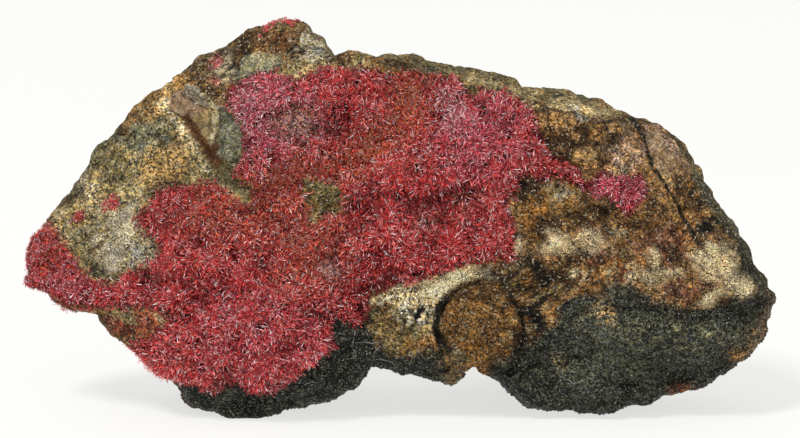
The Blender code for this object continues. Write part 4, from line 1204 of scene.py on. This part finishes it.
# where the mat isn't plain crimson: (middle), (half width, half height), turn, colour, strength
matTints = [
    ((-20.0, 45.0), (6.5, 6.5), 0, "raspberry", 1.0),
    ((-23.0, 46.5), (3.5, 3.5), 0, "pink", 0.4),
    ((-15.4, 44.4), (3.4, 2.6), 10, "worn", 0.9),
    ((-14.2, 44.0), (2.2, 1.8), 0, "pink", 0.5),
    ((7.5, 45.5), (1.8, 3.4), 10, "pink", 0.9),
    ((10.5, 40.5), (5.0, 4.0), 0, "raspberry", 0.7),
    ((14.0, 45.0), (5.0, 4.0), 0, "raspberry", 0.6),
    ((1.0, 47.5), (2.6, 5.5), -12, "orange", 1.0),
    ((-4.0, 41.5), (5.5, 2.6), 35, "orange", 1.0),
    ((-15.0, 37.5), (7.0, 2.2), 10, "orange", 0.8),
    ((-23.0, 30.5), (9.0, 4.0), 15, "orange", 0.75),
    ((-12.0, 27.0), (4.5, 3.5), 0, "orange", 0.75),
    ((-15.0, 20.5), (4.5, 3.5), 0, "orange", 0.5),
    ((-10.6, 22.6), (1.9, 1.7), 0, "worn", 1.0),
    ((-7.5, 37.0), (2.6, 1.8), 0, "orange", 0.6),
    ((10.0, 33.6), (2.2, 1.2), 20, "worn", 0.8),
    ((4.0, 30.0), (2.5, 1.6), 0, "worn", 0.6),
    ((-20.0, 13.0), (9.0, 6.0), 0, "raspberry", 0.35),
    ((33.0, 34.0), (5.0, 4.0), 0, "raspberry", 0.9),
    ((-50.0, 23.0), (5.0, 6.0), 0, "raspberry", 0.5),
]

# hollows where the needles stand lower, and painted shade makes them darker: (middle), (half width, half
# height), turn
matHollows = [
    ((-10.6, 43.4), (1.8, 1.6), 0), ((-30.0, 18.2), (1.8, 2.4), 20), ((-4.4, 20.0), (4.4, 1.6), 30),
    ((6.6, 29.2), (1.8, 1.2), 0), ((-6.0, 32.0), (1.6, 2.6), 30), ((-26.5, 20.5), (3.0, 1.4), -25),
    ((-8.0, 45.0), (1.6, 1.4), 0), ((3.0, 33.4), (3.6, 1.3), 10), ((12.0, 30.0), (1.2, 2.2), 0),
    ((-16.4, 12.0), (1.6, 1.0), 0), ((-12.5, 16.0), (1.0, 1.8), 0), ((-20.6, 22.4), (2.4, 1.2), 15),
    ((-37.0, 20.0), (2.2, 1.0), -10), ((-3.0, 25.0), (1.4, 2.0), 30), ((8.0, 34.5), (3.0, 1.2), 15),
]


def needleTones(x, h, random):
    # the colour of each needle from where it grows, with the needles' own spread
    count = len(x)
    colours = np.tile(tone(*needle["crimson"]), (count, 1))
    tints = [(mound(x, h, *spot) * 1.5, name, strength, 0.85) for *spot, name, strength in matTints]
    tints += [(np.ones(count), *spread) for spread in needle["anywhere"]]
    for share, name, strength, depth in tints:
        taken = np.clip(share, 0.0, 1.0) * strength > random.random(count)
        colours = blended(colours, tone(*needle[name]), taken * depth)
    return colours * (0.30 + 1.45 * random.random((count, 1)))


def sideways(outward, random):
    # random directions square to the given ones
    way = random.normal(size=outward.shape)
    return unit(way - outward * (way * outward).sum(axis=1, keepdims=True))


def growNeedles(name, sprays, count, style, random):
    # every needle leaves a point near its spray's centre, and most of them point away from the centre
    form = needleForms[style]
    odds = sprays["size"] ** form["crowding"]
    spray = random.choice(len(odds), count, p=odds / odds.sum())
    outward = sprays["outward"][spray]
    size = sprays["size"][spray]
    aside = sideways(outward, random)
    strayed = sideways(outward, random)
    away = np.abs(random.normal(size=count)) * size * form["footing"]
    side = np.where(random.random((count, 1)) < form["loose"], strayed, aside)
    glint = random.random(count) < form["glint"]
    rise = (random.random(count) * np.where(glint, 0.7, 1.0))[:, None]
    way = outward * rise + side * np.sqrt(1.0 - rise**2)
    lift = sprays["lift"][spray] + random.random(count) ** 1.4 * size * 0.32
    start = sprays["points"][spray] + outward * lift[:, None] + aside * away[:, None]
    length = size * (0.40 + 0.55 * random.random(count) + 0.6 * random.random(count) ** 8)
    low, high = form["width"]
    width = low + (high - low) * random.random(count) ** 1.6
    across = unit(np.cross(way, random.normal(size=(count, 3))))
    share, thick, turn = np.array(form["corners"]).T[:, :, None]
    points = start[:, None] + (way * length[:, None])[:, None] * share
    ring = across[:, None] * np.cos(turn) + np.cross(way, across)[:, None] * np.sin(turn)
    points = points + ring * (width[:, None, None] * 0.5 * thick)
    own = needleTones(*sprays["places"][spray, :2].T, random) * sprays["shade"][spray, None]
    # painted highlight: glint needles take a pale pink in place of their own colour
    pale = np.array(tone(*needle["pink"])) * (0.7 + 0.8 * random.random((count, 1)))
    # painted shade at each needle's root and painted light at its tip
    tints = np.where(glint[:, None], pale, own)[:, None] * np.array(form["rootShadeTipLight"])[:, None]
    tints = np.clip(tints.reshape(-1, 3), 0.0, 1.0)
    obj = manyForms(name, points, form["faces"], form["cell"], needleFinish, "needleTint", tints)
    settle(obj)
    return obj


def sprayCentres(weight, count, sizes, edge, random):
    # spray centres on the bed: each has a size, a height over the bed and a brightness
    spots = scatterOn(skin, weight, count, random)
    x, h = spots["places"][:, :2].T
    low, high = sizes
    inner = smoothStep(0.0, 2.6, edgeDepth(x, h, edge))
    velvet = softShare(x, h, matVelvet)
    hollow = softShare(x, h, matHollows) + smoothStep(0.25, 0.9, noise(spots["places"], 2.6, 731))
    hollow = np.minimum(hollow, 1.0)
    swell = 0.5 + 0.5 * noise(spots["places"], 3.4, 733) + 0.35 * noise(spots["places"], 1.7, 735)
    cloudy = 1.0 + 0.25 * noise(spots["places"], 2.0, 737)
    spots["size"] = (low + (high - low) * inner) * (0.7 + 0.6 * random.random(count))
    spots["size"] *= (1.0 - 0.55 * softShare(x, h, matWorn)) * (1.0 - 0.3 * velvet)
    spots["lift"] = inner * np.clip(swell, 0.0, 1.2) * (1.0 - hollow) * (1.0 - 0.8 * velvet)
    # painted shade: sprays in hollows darker, times a random brightness for each spray and a cloudy one
    spots["shade"] = (1.0 - 0.65 * hollow) * (0.8 + 0.4 * random.random(count)) * cloudy
    return spots


print("growing the needles")
needleFinish = tintedFinish("erythriteNeedles", "needleTint", 1500.0, detail=2.0, gain=1.2, least=0.4,
                            roughness=0.34, specular=0.30)
random = np.random.default_rng(21)
matWeight = smoothStep(0.0, 0.4, matDepth)
tallWeight = matWeight * (1.0 - 0.95 * softShare(x, h, matVelvet))
baseSprays = sprayCentres(matWeight, needle["baseSprays"], needle["baseSize"], crust["edge"], random)
tallSprays = sprayCentres(tallWeight, needle["tallSprays"], needle["tallSize"], crust["edge"], random)
tallSprays["shade"] *= needle["tallShade"]
inVelvet = softShare(*baseSprays["places"][:, :2].T, matVelvet)
baseSprays["shade"] *= 1.0 + needle["velvetShade"] * inVelvet
for style, sprays in (("blade", tallSprays), ("spike", baseSprays)):
    form = needleForms[style]
    for i in range(form["pieces"]):
        piece = growNeedles(f"erythrite_{style}s_{i + 1}", sprays, form["perPiece"], style, random)
        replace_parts(piece, "erythrite_crust")


def roundTuft(middle, reach):
    # 1 on the face where the middle is nearer than the reach, 0 elsewhere
    return onFace * (np.hypot(x - middle[0], h - middle[1]) < reach)


# a piece, the node that it stands for, where it grows, its needles and the size of its sprays
smallMats = [
    ("summit_needles", "erythrite_summit_strip",
     smoothStep(0.0, 0.3, edgeDepth(x, h, crust["summit"])) * (depth < 14.0), 1500, 0.38),
    ("upper_tuft_needles", "erythrite_upper_tuft", roundTuft(*crust["upperTuft"]), 500, 0.45),
    ("lower_tuft_needles", "erythrite_lower_tuft", roundTuft(*crust["lowerTuft"]), 260, 0.38),
]
for name, node, weight, count, size in smallMats:
    sprays = sprayCentres(weight, 60, (size, size), crust["summit"], random)
    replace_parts(growNeedles(name, sprays, count, "blade", random), node)


# loose grains: pale druse on the face and glittering grains on the black rock

grains = {
    "druse": 9000,             # 8 triangles each
    "druseSize": (0.08, 0.21),
    "black": 11000,
    "blackSize": (0.08, 0.20),
    "blackTone": (66, 68, 54),
    "paleTone": (124, 126, 108),
    "paleShare": 0.06,
    "faces": [(0, 2, 4), (2, 1, 4), (1, 3, 4), (3, 0, 4), (2, 0, 5), (1, 2, 5), (3, 1, 5), (0, 3, 5)],
    "cell": [(0.1, 0.5), (0.9, 0.5), (0.5, 0.1), (0.5, 0.9), (0.4, 0.4), (0.6, 0.6)],
}


def growGrains(name, spots, size, tones, roughness, random):
    # each grain is an octahedron with its own turn, proportions and size, half sunk in the rock
    count = len(tones)
    first = unit(random.normal(size=(count, 3)))
    second = unit(np.cross(first, random.normal(size=(count, 3))))
    axes = np.stack([first, second, np.cross(first, second)], axis=1)
    low, high = size
    reach = (low + (high - low) * random.random(count) ** 2)[:, None]
    middle = spots["points"] + spots["outward"] * reach * 0.2
    arms = axes * (reach * (0.75 + 0.5 * random.random((count, 3))))[:, :, None]
    points = middle[:, None] + np.stack([arms, -arms], axis=2).reshape(count, 6, 3)
    points[..., 2] = np.maximum(points[..., 2], 0.0)
    material = tintedFinish(name + "Finish", "grainTint", 2500.0, detail=1.0, gain=0.8, least=0.6,
                            roughness=roughness)
    tints = np.repeat(tones, 6, axis=0)
    piece = manyForms(name, points, grains["faces"], grains["cell"], material, "grainTint", tints)
    settle(piece)


druseSpots = scatterOn(skin, grainMask * (matDepth < 0.2), grains["druse"], random)
druseTones = druseSpots["tint"] * (0.55 + 1.1 * random.random((grains["druse"], 1)))
growGrains("druse_grains", druseSpots, grains["druseSize"], np.clip(druseTones, 0, 0.75), 0.55, random)
blackWeight = blackMask * (matDepth < 0.2) * np.where(skin["onBack"], 0.35, 1.0)
blackSpots = scatterOn(skin, blackWeight, grains["black"], random)
blackTones = np.array(tone(*grains["blackTone"])) * (0.06 + 2.2 * random.random((grains["black"], 1)) ** 3)
paleGrains = random.random((grains["black"], 1)) < grains["paleShare"]
blackTones = np.where(paleGrains, np.array(tone(*grains["paleTone"])), blackTones)
growGrains("black_grains", blackSpots, grains["blackSize"], blackTones, 0.3, random)


# lint: a few pale hairs that lie on the black rock

lint = {
    "width": 0.06,
    "steps": 36,
    "over": 0.12,            # mm that a hair lies over the rock, give or take its waves
    "wave": 0.10,
    "hairs": [               # points on the face, mm
        [(-2.8, 11.3), (-3.7, 10.6), (-4.2, 10.0), (-4.0, 9.2), (-3.0, 9.1), (-1.6, 8.9), (-0.8, 8.2)],
        [(-6.8, 13.6), (-7.0, 12.5), (-7.2, 11.0)],
        [(-7.2, 10.8), (-6.7, 10.2), (-6.7, 9.4), (-7.5, 9.3), (-8.4, 9.0)],
        [(-7.0, 11.6), (-5.3, 11.8), (-4.2, 11.5), (-3.2, 11.9), (-2.2, 10.8)],
        [(23.4, 6.7), (24.9, 6.2), (25.9, 5.4), (27.4, 6.1), (28.8, 6.5)],
        [(-14.6, 5.2), (-13.4, 5.8), (-12.2, 5.6), (-11.4, 6.4)],
    ],
}


def growLint():
    # each hair is a thin three-sided tube along a smoothed run of points, laid just over the rock's face
    steps = lint["steps"]
    share = np.linspace(0.0, 1.0, steps)
    points, unwrapped = [], []
    for i, hair in enumerate(lint["hairs"]):
        at = share * (len(hair) - 1)
        run = np.column_stack([np.interp(at, np.arange(len(hair)), knots) for knots in zip(*hair)])
        padded = np.pad(run, ((3, 3), (0, 0)), mode="edge")
        run = sum(padded[k : k + steps] for k in range(7)) / 7.0
        places, spine, relief = onRockFace(run)
        towards = unit(stoodUp(places - (0.0, 0.0, 1.0)) - spine)
        over = relief + lint["over"] + lint["wave"] * np.sin(9.0 * share + i)
        spine = spine + towards * over[:, None]
        side = unit(np.cross(np.gradient(spine, axis=0), towards))
        width = 0.5 * lint["width"] * (1.0 - 0.6 * share**4)[:, None]
        ring = [side * math.cos(turn) + towards * math.sin(turn) for turn in (0.5, 2.6, -1.6)]
        points.append(np.stack([spine + width * way for way in ring], axis=1).reshape(-1, 3))
        corners = np.column_stack([np.tile([0.1, 0.5, 0.9], steps), np.repeat(share, 3)])
        unwrapped.append((corners + (i, 0.0)) / (len(lint["hairs"]), 1.0))
    here = (np.arange(steps - 1) * 3)[:, None] + np.arange(3)
    after = (np.arange(steps - 1) * 3)[:, None] + (np.arange(3) + 1) % 3
    walls = np.concatenate([
        np.stack([here, here + 3, after], axis=2).reshape(-1, 3),
        np.stack([after, here + 3, after + 3], axis=2).reshape(-1, 3),
        [[0, 1, 2], [steps * 3 - 1, steps * 3 - 2, steps * 3 - 3]],
    ])
    faces = (walls + (np.arange(len(points)) * steps * 3)[:, None, None]).reshape(-1, 3)
    material, tree = newMaterial("lintFibre")
    dust = texture(tree, "Noise", 900.0, Detail=2.0)["Fac"]
    finish(tree, {"Base Color": mix(tree, dust, tone(120, 120, 112), tone(214, 212, 204)), "Roughness": 0.7})
    unwrapped = np.concatenate(unwrapped)[faces.ravel()]
    settle(makeMesh("lint", np.concatenate(points) * mm, faces, material, unwrapped))


growLint()


# the studio: pale floor, soft lights, and a long lens at the photograph's angle

studio = {
    "distance": 900.0,     # mm from the picture plane
    "aim": (-0.15, 30.1),
    "frameWidth": 119.2,   # mm of the picture plane across the frame
    "sensor": 36.0,
    "floorHalf": 3.0,      # metres
    "floorTones": ((135, 135, 133), (131, 131, 129)),
    "floorGlow": 0.69,     # light that comes through the pale floor and softens the shadows
    "surround": 0.60,
    "lightAim": (0.0, 0.0, 0.025),
    "lights": {            # place and size in metres, and watts
        "key": ((-0.55, -0.75, 1.30), (0.35, 0.35), 19.0),
        "fill": ((0.90, -1.10, 0.70), (0.80, 0.60), 3.0),
    },
}


def softLight(name, spot, size, watts):
    # a rectangle of light turned so that it looks from its place to the specimen
    lamp = bpy.data.lights.new(name, "AREA")
    lamp.shape = "RECTANGLE"
    lamp.size, lamp.size_y = size
    lamp.energy = watts
    obj = bpy.data.objects.new(name, lamp)
    bpy.context.scene.collection.objects.link(obj)
    obj.location = spot
    x, y, z = np.array(studio["lightAim"]) - spot
    obj.rotation_euler = (math.pi / 2 + math.atan2(z, math.hypot(x, y)), 0.0, math.atan2(y, x) - math.pi / 2)


floorMaterial, tree = newMaterial("paleFloor")
cloud = texture(tree, "Noise", 6.0, Detail=1.0)["Fac"]
finish(tree, {
    "Base Color": mix(tree, cloud, *(tone(*shade) for shade in studio["floorTones"])),
    "Roughness": 0.9,
    "Emission Color": (1.0, 1.0, 0.98, 1.0),
    "Emission Strength": studio["floorGlow"],
})
floorPoints = np.array([(-1, -1, 0), (1, -1, 0), (1, 1, 0), (-1, 1, 0)]) * studio["floorHalf"]
floor = makeMesh("studio_floor", floorPoints, np.array([[0, 1, 2, 3]]), floorMaterial)

world = bpy.context.scene.world or bpy.data.worlds.new("studioWorld")
bpy.context.scene.world = world
world.use_nodes = True
surround = world.node_tree.nodes["Background"].inputs
surround["Color"].default_value = (1.0, 1.0, 1.0, 1.0)
surround["Strength"].default_value = studio["surround"]
for name, settings in studio["lights"].items():
    softLight(name, *settings)

lens = bpy.data.cameras.new("studioCamera")
lens.sensor_width = studio["sensor"]
lens.lens = studio["sensor"] * studio["distance"] / studio["frameWidth"]
camera = bpy.data.objects.new("studioCamera", lens)
bpy.context.scene.collection.objects.link(camera)
camera.location = stoodUp(np.array([[*studio["aim"], -studio["distance"]]]))[0] * mm
camera.rotation_euler = (math.radians(90.0 - rock["lean"]), 0.0, 0.0)
bpy.context.scene.camera = camera
bpy.context.scene.view_settings.view_transform = "Standard"
print("studio set")
